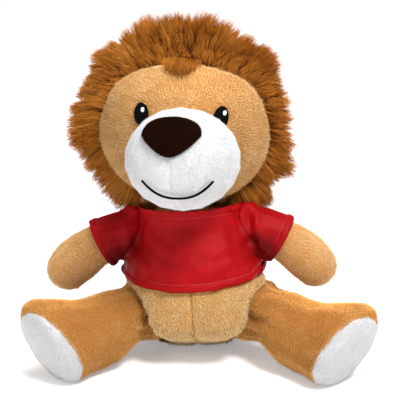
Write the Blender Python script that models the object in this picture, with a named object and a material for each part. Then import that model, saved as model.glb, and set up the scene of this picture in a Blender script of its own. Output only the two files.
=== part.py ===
"""Seated plush lion in a knitted T-shirt.

Sewn plush panels lie over stuffing, and the toy sits on its seat with the legs splayed.
Metres, +Z up. The lion faces -Y and the origin is the middle of the flat seat.
The head, arms, legs and tail flex where they are sewn on: each hangs from an empty on its joint.
Left and right are those of somebody who looks at the lion's face.
"""
import math

import bmesh
import bpy
import numpy as np

# Cloth walls, seams and clearances
PLUSH_WALL = 0.0018
KNIT_WALL = 0.0012
SEAT_GAP = 0.0003
SEAM_GAP = 0.0003
PATCH_LIFT = 0.0006
THREAD_RELIEF = 0.0009
FLOOR_FLAT = 0.0005
OVERRUN = 0.006
WELD_DISTANCE = 0.000003
SLOPE_STEP = 0.0010

# How the toy sits
BODY_LEAN = math.radians(3.0)
BODY_SHIFT = 0.0020
HEAD_TURN = math.radians(5.0)
HEAD_LEAN = math.radians(4.2)
SEAT_MIDDLE = 0.0120

# Body
BODY_HEIGHT = 0.0990
BODY_WIDTH = 0.0940
BODY_FRONT = 0.0470
BODY_BACK = 0.0420
POUCH_HEIGHT = 0.0260
# Height, half width, front and back depth, each as a share of the size above
BODY_SHARES = (
    (-0.0050, 0.00, 0.00, 0.00),
    (-0.0045, 0.20, 0.09, 0.26),
    (0.005, 0.45, 0.20, 0.52),
    (0.040, 0.66, 0.38, 0.74),
    (0.110, 0.84, 0.60, 0.90),
    (0.220, 0.96, 0.82, 0.98),
    (0.340, 1.00, 0.97, 1.00),
    (0.450, 0.975, 1.00, 0.99),
    (0.550, 0.925, 0.96, 0.96),
    (0.660, 0.86, 0.89, 0.92),
    (0.760, 0.79, 0.80, 0.88),
    (0.860, 0.71, 0.69, 0.81),
    (0.930, 0.62, 0.60, 0.71),
    (0.980, 0.50, 0.50, 0.57),
    (1.000, 0.30, 0.32, 0.36),
    (1.004, 0.00, 0.00, 0.00),
)

# Shirt
HEM_HEIGHT = 0.0535
# How far under the top of the neck the collar starts
COLLAR_DROP = 0.006896
SHIRT_LIFT = 0.0006
SHIRT_FLARE = 0.0012
SHIRT_ROWS = 10
COLLAR_BAND = 0.0042
COLLAR_BULGE = 0.0006
# Folds round the shirt: relief, how many, their slant, and the height and spread where they are deepest
FOLD_RELIEF = 0.0014
FOLD_COUNT = 10
FOLD_SLANT = 3.0
FOLD_PLACE_SHARE = 0.35
FOLD_SPREAD_SHARE = 0.30

# Arms
SHOULDER_X = 0.0398
SHOULDER_Y = -0.0030
SHOULDER_Z = 0.0800
ARM_LENGTH = 0.0468
ARM_RADIUS = 0.0143
ARM_DROP_START = math.radians(14)
ARM_DROP_END = math.radians(47)
ARM_SWEEP = math.radians(6)
ARM_LOWER = math.radians(3)
# Radius at even steps along the arm, as a share of ARM_RADIUS
ARM_SHARES = (1.00, 1.00, 0.99, 0.99, 1.02, 1.07, 1.09, 1.04)
SLEEVE_FLARE = 0.0012
# Rows of the arm's form where the sleeve starts, inside the armhole, and ends
SLEEVE_FIRST_ROW = 2
SLEEVE_LAST_ROW = 7

# Legs
HIP_X = 0.0360
HIP_Y = -0.0140
HIP_Z = 0.0240
HIP_REACH = 0.0272
HIP_POWER = 3.0
SOLE_X = 0.0942
SOLE_Y = -0.0640
SOLE_LENGTH = 0.0520
SOLE_WIDTH = 0.0430
SOLE_BULGE = 0.0050
SOLE_TURN = math.radians(38)
SOLE_DROP = math.radians(21)
# Place along the leg, half length and half width of its section, and its share of SOLE_DROP
LEG_SHARES = (
    (0.00, 0.925, 1.120, 0.00),
    (0.14, 0.900, 1.090, 0.00),
    (0.30, 0.930, 1.120, 0.00),
    (0.48, 0.910, 1.100, 0.00),
    (0.64, 0.930, 1.060, 0.10),
    (0.78, 1.040, 1.060, 0.35),
    (0.90, 1.160, 1.060, 0.75),
    (0.97, 1.130, 1.035, 1.00),
    (1.00, 1.000, 0.985, 1.00),
)

# Head
NECK_HEIGHT = BODY_HEIGHT * BODY_SHARES[-1][0]
COLLAR_HEIGHT = NECK_HEIGHT - COLLAR_DROP
HEAD_LIFT = 0.0465
HEAD_BACK_SHIFT = 0.0020
HEAD_WIDTH = 0.1130
HEAD_HEIGHT = 0.0960
HEAD_FRONT = 0.0440
HEAD_BACK = 0.0400
FACE_EDGE_ANGLE = math.radians(74)
# The head clears the neck as far out as this share of the body's half width, and the sleeves by a margin
NECK_SHARE = 0.72
SLEEVE_MARGIN = 0.0022

# Muzzle, nose, mouth and eyes, seen from the head's middle
MUZZLE_WIDTH = 0.0700
MUZZLE_HEIGHT = 0.0635
MUZZLE_REACH = 0.0390
MUZZLE_BASE = 0.0300
MUZZLE_FORWARD = 0.0440
MUZZLE_DROP = 0.0070
MUZZLE_SHIFT = 0.0040
MUZZLE_TILT = math.radians(15)
MUZZLE_TURN = math.radians(5)
MUZZLE_ROLL = math.radians(4)
MUZZLE_POWER = 2.5
NOSE_WIDTH = 0.0355
NOSE_HEIGHT = 0.0235
NOSE_BOTTOM = 0.0012
NOSE_THICKNESS = 0.0022
NOSE_CROWN = 0.0020
NOSE_CORNER_SHARE = 0.54
NOSE_PINCH_SHARE = 0.42
NOSE_BROW_POWER = 0.8
MOUTH_WIDTH = 0.0420
MOUTH_SHIFT = 0.0035
MOUTH_DROP = 0.0228
MOUTH_RISE = 0.0105
MOUTH_POWER = 2.4
MOUTH_THREAD = 0.0014
MOUTH_TAPER_SHARE = 0.97
MOUTH_TAPER_POWER = 8
EYE_WIDTH = 0.0098
EYE_HEIGHT = 0.0134
EYE_X = 0.0242
EYE_Z = 0.0180

# Mane
MANE_REACH = 0.0780
MANE_CREST_Y = 0.0030
MANE_BACK = 0.0490
MANE_TUFT = 0.0030
MANE_TUFTS = 12
# Direction round the face in degrees, anticlockwise from +X, and reach as a share of MANE_REACH
MANE_SHARES = (
    (5, 0.86), (20, 0.88), (34, 0.95), (46, 1.06), (57, 0.95), (63, 0.90), (72, 0.99), (84, 0.97),
    (92, 0.95), (104, 0.97), (116, 0.99), (126, 0.97), (132, 0.98), (138, 1.05), (150, 0.99), (163, 0.99),
    (176, 1.02), (190, 1.00), (200, 0.93), (214, 0.90), (226, 0.88), (236, 0.86), (243, 0.70), (251, 0.64),
    (270, 0.64), (290, 0.64), (298, 0.72), (308, 0.90), (318, 0.88), (330, 0.86), (338, 0.94), (350, 0.88),
)
# First and last column of each panel round the face
MANE_COLUMN_SHARES = {
    "mane_right": (-1 / 6, 1 / 6),
    "mane_crown": (1 / 6, 13 / 36),
    "mane_left": (13 / 36, 2 / 3),
    "chin_panel": (2 / 3, 5 / 6),
}
MANE_CREST_ROWS = 2
MANE_BAND_ROWS = 3

# Tail
TAIL_Y = 0.0375
TAIL_Z = 0.0125
TAIL_BALL = 0.0070
TAIL_RADIUS = 0.0048
TAIL_LENGTH = 0.0580
TAIL_TURN = math.radians(96)
TUFT_LENGTH = 0.0300
TUFT_RADIUS = 0.0110
TUFT_POWER = 0.7
TUFT_PLACE_POWER = 0.8

# Counts of facets
BODY_COLUMNS = 20
HEAD_COLUMNS = 36
HEAD_ROWS = 12
LIMB_COLUMNS = 12
DOME_ROWS = 4
MUZZLE_COLUMNS = 18
MUZZLE_ROWS = 7
SOCKET_COLUMNS = 24
SOCKET_ROWS = 12
PATCH_RINGS = 5
TAIL_ROWS = 12
TUFT_ROWS = 8
SMOOTH_ANGLE = math.radians(50)

# Colours of the cloths, linear red, green and blue
TAN_PLUSH = (0.70, 0.40, 0.14)
PALE_PLUSH = (0.74, 0.49, 0.20)
RUST_FUR = (0.37, 0.12, 0.02)
WHITE_PLUSH = (0.80, 0.80, 0.82)
BROWN_PLUSH = (0.025, 0.008, 0.005)
BLACK_THREAD = (0.010, 0.010, 0.010)
RED_KNIT = (0.56, 0.012, 0.025)
WHITE_FIBRE = (0.85, 0.85, 0.83)
PELLET_CLOTH = (0.50, 0.48, 0.44)


def clear_scene():
    """Remove what a new file starts with."""
    for item in list(bpy.data.objects):
        bpy.data.objects.remove(item, do_unlink=True)


def cloth_material(name, colour, roughness):
    """A plain cloth or fibre."""
    material = bpy.data.materials.new(name)
    material.use_nodes = True
    shader = material.node_tree.nodes["Principled BSDF"]
    shader.inputs["Base Color"].default_value = (*colour, 1.0)
    shader.inputs["Roughness"].default_value = roughness
    shader.inputs["Metallic"].default_value = 0.0
    material.diffuse_color = (*colour, 1.0)
    return material


def pivot(name, place, parent=None, turn=(0.0, 0.0, 0.0)):
    """An empty on a joint, which the pieces of that limb hang from."""
    empty = bpy.data.objects.new(name, None)
    empty.location = place
    empty.rotation_euler = turn
    empty.parent = parent
    bpy.context.collection.objects.link(empty)
    return empty


def unit(vectors):
    """Vectors of length one; a zero vector stays zero."""
    length = np.linalg.norm(vectors, axis=-1, keepdims=True)
    return vectors / np.where(length > 0, length, 1)


def is_pole(row):
    """True for a row of a grid that has shrunk to one point."""
    return np.ptp(row, axis=0).max() < WELD_DISTANCE


def column_angles(count):
    """Directions of a grid's columns."""
    return np.arange(count) * 2 * math.pi / count


def offset(grid, distance):
    """A form's grid moved outwards by a distance, inwards where it is negative."""
    along = np.gradient(grid, axis=0)
    around = np.roll(grid, -1, axis=1) - np.roll(grid, 1, axis=1)
    normals = unit(np.cross(around, along))
    for row, neighbour in ((0, 1), (-1, -2)):
        if is_pole(grid[row]):
            normals[row] = unit(normals[neighbour].mean(axis=0))
    outward = grid - grid.mean(axis=(0, 1))
    if (normals * outward).sum() < 0:
        normals = -normals
    return grid + normals * distance


def pull(edge, neighbour, distance):
    """Move an edge of a panel towards the points beside it, to leave its share of a seam."""
    edge += unit(neighbour - edge) * distance


def trim(grid, rows, columns):
    """The part of a grid that one panel takes, drawn back from its seams."""
    part = grid[rows[0]:rows[1] + 1].copy()
    seam = SEAM_GAP / 2
    poles = [is_pole(part[0]), is_pole(part[-1])]
    if columns:
        picked = [column % grid.shape[1] for column in range(columns[0], columns[1] + 1)]
        part = part[:, picked]
        middle = len(picked) // 2
        for end, inside in ((0, 1), (-1, -2)):
            if poles[end]:
                part[end] += unit(part[inside, middle] - part[end, 0]) * seam
        pull(part[:, 0], part[:, 1].copy(), seam)
        pull(part[:, -1], part[:, -2].copy(), seam)
        for end in (0, -1):
            if poles[end]:
                part[end] = part[end, middle]
    if not poles[0] and rows[0] > 0:
        pull(part[0], part[1].copy(), seam)
    if not poles[1] and rows[1] < len(grid) - 1:
        pull(part[-1], part[-2].copy(), seam)
    return part


def sheet_faces(first, rows, columns, wrapped):
    """Triangles over a grid of points, with the same diagonal everywhere."""
    faces = []
    for row in range(rows - 1):
        for column in range(columns if wrapped else columns - 1):
            beside = (column + 1) % columns
            a = first + row * columns + column
            b = first + row * columns + beside
            faces.append((a, b, a + columns))
            faces.append((b, b + columns, a + columns))
    return faces


def wall_faces(edge, facing):
    """Triangles between two matching rows of point numbers."""
    faces = []
    for here in range(len(edge) - 1):
        faces.append((edge[here], edge[here + 1], facing[here]))
        faces.append((edge[here + 1], facing[here + 1], facing[here]))
    return faces


def closed_mesh(name, points, faces):
    """A mesh with its doubled points joined and its faces turned outwards."""
    mesh = bpy.data.meshes.new(name)
    mesh.from_pydata([tuple(point) for point in points], [], faces)
    shape = bmesh.new()
    shape.from_mesh(mesh)
    bmesh.ops.remove_doubles(shape, verts=shape.verts, dist=WELD_DISTANCE)
    bmesh.ops.recalc_face_normals(shape, faces=shape.faces)
    shape.to_mesh(mesh)
    shape.free()
    return mesh


def add_piece(name, points, faces, material, parent):
    """One closed body as a named object, smooth where it is round."""
    mesh = closed_mesh(name, points, faces)
    mesh.shade_smooth()
    mesh.set_sharp_from_angle(angle=SMOOTH_ANGLE)
    mesh.materials.append(material)
    piece = bpy.data.objects.new(name, mesh)
    piece.parent = parent
    bpy.context.collection.objects.link(piece)
    return piece


def add_panel(name, outer, inner, material, parent, rows=None, columns=None):
    """Cloth between two grids: a part of them, or the whole way round."""
    rows = rows or (0, len(outer) - 1)
    skin = trim(outer, rows, columns)
    lining = trim(inner, rows, columns)
    high, wide = skin.shape[:2]
    wrapped = not columns
    points = np.concatenate((skin.reshape(-1, 3), lining.reshape(-1, 3)))
    faces = sheet_faces(0, high, wide, wrapped) + sheet_faces(high * wide, high, wide, wrapped)
    number = np.arange(2 * high * wide).reshape(2, high, wide)
    for end in (0, high - 1):
        if not is_pole(skin[end]):
            loop = np.append(number[:, end], number[:, end, :1], axis=1) if wrapped else number[:, end]
            faces += wall_faces(loop[0], loop[1])
    if not wrapped:
        faces += wall_faces(number[0, :, 0], number[1, :, 0])
        faces += wall_faces(number[0, :, -1], number[1, :, -1])
    return add_piece(name, points, [tuple(map(int, face)) for face in faces], material, parent)


def add_solid(name, grid, material, parent):
    """A filled form between its two poles."""
    high, wide = grid.shape[:2]
    return add_piece(name, grid.reshape(-1, 3), sheet_faces(0, high, wide, True), material, parent)


def cutter(name, points, faces, parent):
    """A hidden solid that others are cut by."""
    tool = bpy.data.objects.new(name, closed_mesh(name, points, faces))
    tool.parent = parent
    tool.display_type = "WIRE"
    tool.hide_render = True
    bpy.context.collection.objects.link(tool)
    return tool


def grid_cutter(name, grid, parent):
    """A hidden solid between a grid's two poles."""
    high, wide = grid.shape[:2]
    return cutter(name, grid.reshape(-1, 3), sheet_faces(0, high, wide, True), parent)


def block_cutter(name, half_size, centre, parent):
    """A hidden box."""
    corners = [(x, y, z) for x in (-1, 1) for y in (-1, 1) for z in (-1, 1)]
    points = np.array(corners) * half_size + np.array(centre)
    faces = [(0, 1, 3, 2), (4, 6, 7, 5), (0, 4, 5, 1), (2, 3, 7, 6), (0, 2, 6, 4), (1, 5, 7, 3)]
    return cutter(name, points, faces, parent)


def barrel_reach(directions, wide, high, power):
    """How far an upright barrel reaches from its middle in each direction; a ball has power 2."""
    level = np.hypot(directions[..., 0], directions[..., 1]) / wide
    upright = np.abs(directions[..., 2]) / high
    return (level ** power + upright ** power) ** (-1 / power)


def socket_cutter(name, wide, high, power, parent):
    """A hidden barrel about a joint, its facets all outside it, so that a limb turns freely in it."""
    spread = 1 / math.cos(math.pi / SOCKET_COLUMNS) / math.cos(math.pi / SOCKET_ROWS / 2)
    polar = np.linspace(0, math.pi, SOCKET_ROWS + 1)
    angle = column_angles(SOCKET_COLUMNS)
    directions = np.stack((
        np.outer(np.sin(polar), np.cos(angle)),
        np.outer(np.sin(polar), np.sin(angle)),
        np.outer(np.cos(polar), np.ones(SOCKET_COLUMNS)),
    ), axis=-1)
    directions[0] = (0, 0, 1)
    directions[-1] = (0, 0, -1)
    reach = barrel_reach(directions, wide, high, power)[..., None]
    return grid_cutter(name, directions * reach * spread, parent)


def cut(piece, *tools):
    """Cut a piece by one or more hidden solids."""
    for tool in tools:
        modifier = piece.modifiers.new("cut_" + tool.name, "BOOLEAN")
        modifier.operation = "DIFFERENCE"
        modifier.solver = "EXACT"
        modifier.object = tool


def body_ring(height):
    """The outline of the pear-shaped body at one height over the seat."""
    table = np.array(BODY_SHARES).T
    width, front, back = (np.interp(height / BODY_HEIGHT, table[0], column) for column in table[1:])
    angle = column_angles(BODY_COLUMNS)
    depth = np.where(np.cos(angle) > 0, front * BODY_FRONT, back * BODY_BACK)
    return np.stack((
        np.sin(angle) * width * BODY_WIDTH / 2,
        -np.cos(angle) * depth,
        np.full(BODY_COLUMNS, height),
    ), axis=-1)


def make_body(seat, floor, arm_spaces, hip_sockets, tail_socket, cloths):
    """Two belly panels and a back panel over the stuffing and the pellet pouch."""
    outer = np.array([body_ring(row[0] * BODY_HEIGHT) for row in BODY_SHARES])
    inner = offset(outer, -PLUSH_WALL)
    core = offset(outer, -PLUSH_WALL - SEAT_GAP)
    quarter = BODY_COLUMNS // 4
    limbs = {label: (*arm_spaces[label], hip_sockets[label]) for label in ("left", "right")}
    cloth = cloths["body"]
    right = add_panel("body_front_right", outer, inner, cloth, seat, columns=(0, quarter))
    cut(right, floor, *limbs["right"])
    left = add_panel("body_front_left", outer, inner, cloth, seat, columns=(3 * quarter, 4 * quarter))
    cut(left, floor, *limbs["left"])
    back = add_panel("body_back", outer, inner, cloth, seat, columns=(quarter, 3 * quarter))
    cut(back, floor, *limbs["left"], *limbs["right"], tail_socket)
    wide = BODY_WIDTH
    below = block_cutter("pouch_space", (wide, wide, wide / 2), (0, 0, POUCH_HEIGHT - wide / 2), seat)
    above = block_cutter("filling_space", (wide, wide, wide), (0, 0, POUCH_HEIGHT - SEAT_GAP + wide), seat)
    filling = add_solid("body_filling", core, cloths["filling"], seat)
    cut(filling, below, *limbs["left"], *limbs["right"])
    pouch = add_solid("pellet_pouch", core, cloths["pouch"], seat)
    cut(pouch, above, hip_sockets["left"], hip_sockets["right"], tail_socket)


def shirt_folds():
    """How far the cloth stands off the body: a flare at the hem, and folds drawn from the armpits."""
    climb = np.linspace(0, 1, SHIRT_ROWS)[:, None]
    angle = column_angles(BODY_COLUMNS)[None, :]
    hem = SHIRT_FLARE * (1 - climb) ** 2
    waves = np.sin(FOLD_COUNT / 2 * angle + FOLD_SLANT * climb) ** 2
    return hem + FOLD_RELIEF * waves * np.exp(-((climb - FOLD_PLACE_SHARE) / FOLD_SPREAD_SHARE) ** 2)


def make_shirt(seat, arm_spaces, cloths):
    """Front and back of the T-shirt, and the folded strip that binds its neck."""
    form = np.array([body_ring(height) for height in np.linspace(HEM_HEIGHT, COLLAR_HEIGHT, SHIRT_ROWS)])
    folds = unit(offset(form, SHIRT_LIFT) - form) * shirt_folds()[..., None]
    inner = offset(form, SHIRT_LIFT) + folds
    outer = offset(form, SHIRT_LIFT + KNIT_WALL) + folds
    quarter = BODY_COLUMNS // 4
    front = add_panel("shirt_front", outer, inner, cloths["knit"], seat, columns=(-quarter, quarter))
    back = add_panel("shirt_back", outer, inner, cloths["knit"], seat, columns=(quarter, 3 * quarter))
    for panel in (front, back):
        cut(panel, *arm_spaces["left"], *arm_spaces["right"])
    start = COLLAR_HEIGHT + SEAM_GAP
    band = np.array([body_ring(start + COLLAR_BAND * share) for share in (0.0, 0.5, 1.0)])
    lining = offset(band, SHIRT_LIFT)
    skin = offset(band, SHIRT_LIFT + KNIT_WALL)
    skin[1] = offset(band, SHIRT_LIFT + KNIT_WALL + COLLAR_BULGE)[1]
    add_panel("shirt_collar", skin, lining, cloths["collar"], seat)


def limb_rows(centres, tangents, sides, halves, root_radius, tip_depth):
    """Grid of a limb: a round root about the joint, sections along a line, and a domed tip.

    Each section lies square to its tangent; halves holds its half size along its side and across it.
    """
    angle = column_angles(LIMB_COLUMNS)
    rows = []

    def section(centre, tangent, side, half_side, half_across):
        first = unit(side - tangent * np.dot(side, tangent))
        second = np.cross(tangent, first)
        along = np.outer(np.cos(angle), first) * half_side
        rows.append(centre + along + np.outer(np.sin(angle), second) * half_across)

    for step in range(DOME_ROWS):
        polar = step * math.pi / 2 / DOME_ROWS
        radius = root_radius * math.sin(polar)
        centre = centres[0] - tangents[0] * root_radius * math.cos(polar)
        section(centre, tangents[0], sides[0], radius, radius)
    for centre, tangent, side, (half_side, half_across) in zip(centres, tangents, sides, halves):
        section(centre, tangent, side, half_side, half_across)
    for step in range(1, DOME_ROWS + 1):
        polar = step * math.pi / 2 / DOME_ROWS
        shrink = math.cos(polar) if step < DOME_ROWS else 0
        centre = centres[-1] + tangents[-1] * tip_depth * math.sin(polar)
        section(centre, tangents[-1], sides[-1], halves[-1][0] * shrink, halves[-1][1] * shrink)
    return np.array(rows)


def arm_form(side):
    """A stubby arm that leaves the shoulder sideways and bends down to a rounded paw."""
    count = len(ARM_SHARES)
    step = ARM_LENGTH / (count - 1)
    centre = np.zeros(3)
    centres, tangents = [], []
    for share in np.linspace(0, 1, count):
        drop = ARM_DROP_START + (ARM_DROP_END - ARM_DROP_START) * share
        sweep = ARM_SWEEP * share
        tangent = np.array((
            side * math.cos(drop) * math.cos(sweep),
            -math.sin(sweep),
            -math.sin(drop) * math.cos(sweep),
        ))
        if centres:
            centre = centre + (tangent + tangents[-1]) / 2 * step
        centres.append(centre)
        tangents.append(tangent)
    halves = [(ARM_RADIUS * share, ARM_RADIUS * share) for share in ARM_SHARES]
    ups = [np.array((0.0, 0.0, 1.0))] * count
    return limb_rows(centres, tangents, ups, halves, ARM_RADIUS, halves[-1][0])


def sleeve_form(arm, distance):
    """The arm's form with cloth over it, which flares to the sleeve's hem."""
    flare = np.full(len(arm), SLEEVE_FLARE)
    flare[:DOME_ROWS] = 0
    climb = np.linspace(0, 1, SLEEVE_LAST_ROW + 1 - DOME_ROWS)
    flare[DOME_ROWS:SLEEVE_LAST_ROW + 1] = SLEEVE_FLARE * climb ** 2
    outwards = unit(offset(arm, distance) - arm)
    return arm + outwards * (distance + flare)[:, None, None]


def arm_space(side, label, shoulder):
    """Hidden solids that give the sleeve room: one round the lowered arm, and a ball to turn in."""
    grid = sleeve_form(arm_form(side), SEAT_GAP + KNIT_WALL + SEAT_GAP)
    space = grid_cutter("arm_space_" + label, grid, shoulder)
    space.rotation_euler = (0.0, side * ARM_LOWER, 0.0)
    reach = ARM_RADIUS + SEAT_GAP + KNIT_WALL + SEAT_GAP
    return space, socket_cutter("armhole_" + label, reach, reach, 2, shoulder)


def make_arm(side, label, shoulder, cloths):
    """Front and back panel over stuffing, with the sleeve that turns with the arm."""
    outer = arm_form(side)
    inner = offset(outer, -PLUSH_WALL)
    half = LIMB_COLUMNS // 2
    names = ("arm_front_", "arm_back_") if side > 0 else ("arm_back_", "arm_front_")
    add_panel(names[0] + label, outer, inner, cloths["limb"], shoulder, columns=(0, half))
    add_panel(names[1] + label, outer, inner, cloths["limb"], shoulder, columns=(half, 2 * half))
    add_solid("arm_filling_" + label, offset(outer, -PLUSH_WALL - SEAT_GAP), cloths["filling"], shoulder)
    lining = sleeve_form(outer, SEAT_GAP)[SLEEVE_FIRST_ROW:SLEEVE_LAST_ROW + 1]
    skin = sleeve_form(outer, SEAT_GAP + KNIT_WALL)[SLEEVE_FIRST_ROW:SLEEVE_LAST_ROW + 1]
    add_panel("sleeve_" + label, skin, lining, cloths["knit"], shoulder)


def leg_form(side):
    """A leg that lies on the floor and widens to an oval foot, its toes turned up and out."""
    reach = np.array((side * (SOLE_X - HIP_X), SOLE_Y - HIP_Y, 0.0))
    ahead = unit(reach)
    outward = np.array((-ahead[1] * side, ahead[0] * side, 0.0))
    up = np.array((0.0, 0.0, 1.0))
    centres, tangents, halves, toes = [], [], [], []
    for place, long_share, wide_share, drop_share in LEG_SHARES:
        drop = SOLE_DROP * drop_share
        tangent = ahead * math.cos(drop) - up * math.sin(drop)
        rise = ahead * math.sin(drop) + up * math.cos(drop)
        toe = rise * math.cos(SOLE_TURN) + outward * math.sin(SOLE_TURN)
        across = np.cross(tangent, toe)
        half_long = long_share * SOLE_LENGTH / 2
        half_wide = wide_share * SOLE_WIDTH / 2
        half_height = math.hypot(toe[2] * half_long, across[2] * half_wide)
        settled = min(place / LEG_SHARES[1][0], 1.0)
        centres.append(reach * place + up * (half_height - FLOOR_FLAT - HIP_Z) * settled)
        tangents.append(tangent)
        halves.append((half_long, half_wide))
        toes.append(toe)
    rows = limb_rows(centres, tangents, toes, halves, HIP_REACH, SOLE_BULGE)
    root = unit(rows[:DOME_ROWS + 1])
    rows[:DOME_ROWS + 1] = root * barrel_reach(root, HIP_REACH, HIP_Z, HIP_POWER)[..., None]
    return rows


def make_leg(side, label, hip, floor, cloths):
    """Inner and outer panel and a white sole over stuffing."""
    outer = leg_form(side)
    inner = offset(outer, -PLUSH_WALL)
    half = LIMB_COLUMNS // 2
    rim = DOME_ROWS + len(LEG_SHARES) - 1
    names = ("leg_outer_", "leg_inner_") if side < 0 else ("leg_inner_", "leg_outer_")
    cloth = cloths["leg"]
    panels = [
        add_panel(names[0] + label, outer, inner, cloth, hip, rows=(0, rim), columns=(0, half)),
        add_panel(names[1] + label, outer, inner, cloth, hip, rows=(0, rim), columns=(half, 2 * half)),
        add_panel("sole_" + label, outer, inner, cloths["white"], hip, rows=(rim, len(outer) - 1)),
    ]
    for panel in panels:
        cut(panel, floor)
    add_solid("leg_filling_" + label, offset(outer, -PLUSH_WALL - SEAT_GAP), cloths["filling"], hip)


def head_form():
    """The head: rings about the Y axis, from the middle of the face to the back."""
    polar = np.concatenate((
        np.linspace(0, FACE_EDGE_ANGLE, HEAD_ROWS // 2 + 1),
        np.linspace(FACE_EDGE_ANGLE, math.pi, HEAD_ROWS // 2 + 1)[1:],
    ))
    angle = column_angles(HEAD_COLUMNS)
    rows = []
    for turn in polar:
        depth = -HEAD_FRONT * math.cos(turn) if turn < math.pi / 2 else -HEAD_BACK * math.cos(turn)
        radius = math.sin(turn) if 0 < turn < math.pi else 0
        rows.append(np.stack((
            np.cos(angle) * radius * HEAD_WIDTH / 2,
            np.full(HEAD_COLUMNS, depth),
            np.sin(angle) * radius * HEAD_HEIGHT / 2,
        ), axis=-1))
    return np.array(rows)


def mane_form(head):
    """The outer shape of the fur, from the edge of the face over its crest to the back of the head."""
    edge = HEAD_ROWS // 2
    count = HEAD_ROWS - edge
    angle = column_angles(HEAD_COLUMNS)
    places, shares = np.array(MANE_SHARES).T
    reach = np.interp(np.degrees(angle), places, shares, period=360) * MANE_REACH
    rim = head[edge]
    rows = [rim]
    for row in range(1, count + 1):
        if row <= MANE_CREST_ROWS:
            turn = row / MANE_CREST_ROWS * math.pi / 2
            start = np.hypot(rim[:, 0], rim[:, 2])
            radius = start + (reach - start) * math.sin(turn)
            depth = rim[:, 1] + (MANE_CREST_Y - rim[:, 1]) * (1 - math.cos(turn))
        else:
            turn = (row - MANE_CREST_ROWS) / (count - MANE_CREST_ROWS) * math.pi / 2
            tufts = MANE_TUFT * np.cos(MANE_TUFTS * angle) * math.sin(2 * turn)
            radius = (reach + tufts) * (math.cos(turn) if row < count else 0)
            depth = np.full(HEAD_COLUMNS, MANE_CREST_Y + (MANE_BACK - MANE_CREST_Y) * math.sin(turn))
        rows.append(np.stack((np.cos(angle) * radius, depth, np.sin(angle) * radius), axis=-1))
    return np.array(rows)


def muzzle_form():
    """The bulging muzzle: rings about the Y axis, widest at its seam with the face."""
    angle = column_angles(MUZZLE_COLUMNS) + math.pi / 2
    power = 2 / MUZZLE_POWER
    rows = []
    for turn in np.linspace(0, math.pi, 2 * MUZZLE_ROWS - 1):
        radius = math.sin(turn) ** power if 0 < turn < math.pi else 0
        front = math.cos(turn)
        depth = -MUZZLE_REACH * front ** power if front > 0 else MUZZLE_BASE * (-front) ** power
        rows.append(np.stack((
            np.cos(angle) * radius * MUZZLE_WIDTH / 2,
            np.full(MUZZLE_COLUMNS, depth),
            np.sin(angle) * radius * MUZZLE_HEIGHT / 2,
        ), axis=-1))
    return np.array(rows)


def muzzle_depth(x, z):
    """How far forward the muzzle's front lies at a place seen along its axis."""
    spread = np.hypot(x / (MUZZLE_WIDTH / 2), z / (MUZZLE_HEIGHT / 2))
    return -MUZZLE_REACH * (1 - np.minimum(spread, 1) ** MUZZLE_POWER) ** (1 / MUZZLE_POWER)


def face_depth(x, z):
    """How far forward the face lies at a place seen from the front."""
    spread = np.hypot(x / (HEAD_WIDTH / 2), z / (HEAD_HEIGHT / 2))
    return -HEAD_FRONT * np.sqrt(1 - np.minimum(spread, 1) ** 2)


def lifted(flat, depth_at, lift):
    """Places on a curved front, given as (x, z) seen from before it, moved off it by a distance."""
    x, z = flat[..., 0], flat[..., 1]
    run_x = (depth_at(x + SLOPE_STEP, z) - depth_at(x - SLOPE_STEP, z)) / (2 * SLOPE_STEP)
    run_z = (depth_at(x, z + SLOPE_STEP) - depth_at(x, z - SLOPE_STEP)) / (2 * SLOPE_STEP)
    normals = unit(np.stack((run_x, -np.ones_like(x), run_z), axis=-1))
    return np.stack((x, depth_at(x, z), z), axis=-1) + normals * lift


def add_patch(name, outline, middle, depth_at, thickness, crown, material, parent):
    """A flat outline laid on a curved front, thicker towards its middle."""
    share = np.linspace(1, 0, PATCH_RINGS)[:, None, None]
    flat = middle + (outline - middle) * share
    under = lifted(flat, depth_at, PATCH_LIFT)
    over = lifted(flat, depth_at, PATCH_LIFT + thickness + crown * np.sqrt(1 - share))
    return add_panel(name, over, under, material, parent)


def eye_outline(middle):
    """An upright oval."""
    angle = column_angles(LIMB_COLUMNS)
    return middle + np.stack((np.cos(angle) * EYE_WIDTH / 2, np.sin(angle) * EYE_HEIGHT / 2), axis=-1)


def nose_outline(middle):
    """A flat top, round corners and sides that run in to a point below."""
    angle = column_angles(MUZZLE_COLUMNS) + math.pi / 2
    rise = np.sin(angle)
    pinch = np.where(rise < 0, 1 + NOSE_PINCH_SHARE * rise, 1.0)
    above = np.clip(rise, 0, 1) ** NOSE_BROW_POWER * NOSE_HEIGHT * (1 - NOSE_CORNER_SHARE)
    below = np.clip(-rise, 0, 1) * NOSE_HEIGHT * NOSE_CORNER_SHARE
    return middle + np.stack((np.cos(angle) * pinch * NOSE_WIDTH / 2, above - below), axis=-1)


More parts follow.
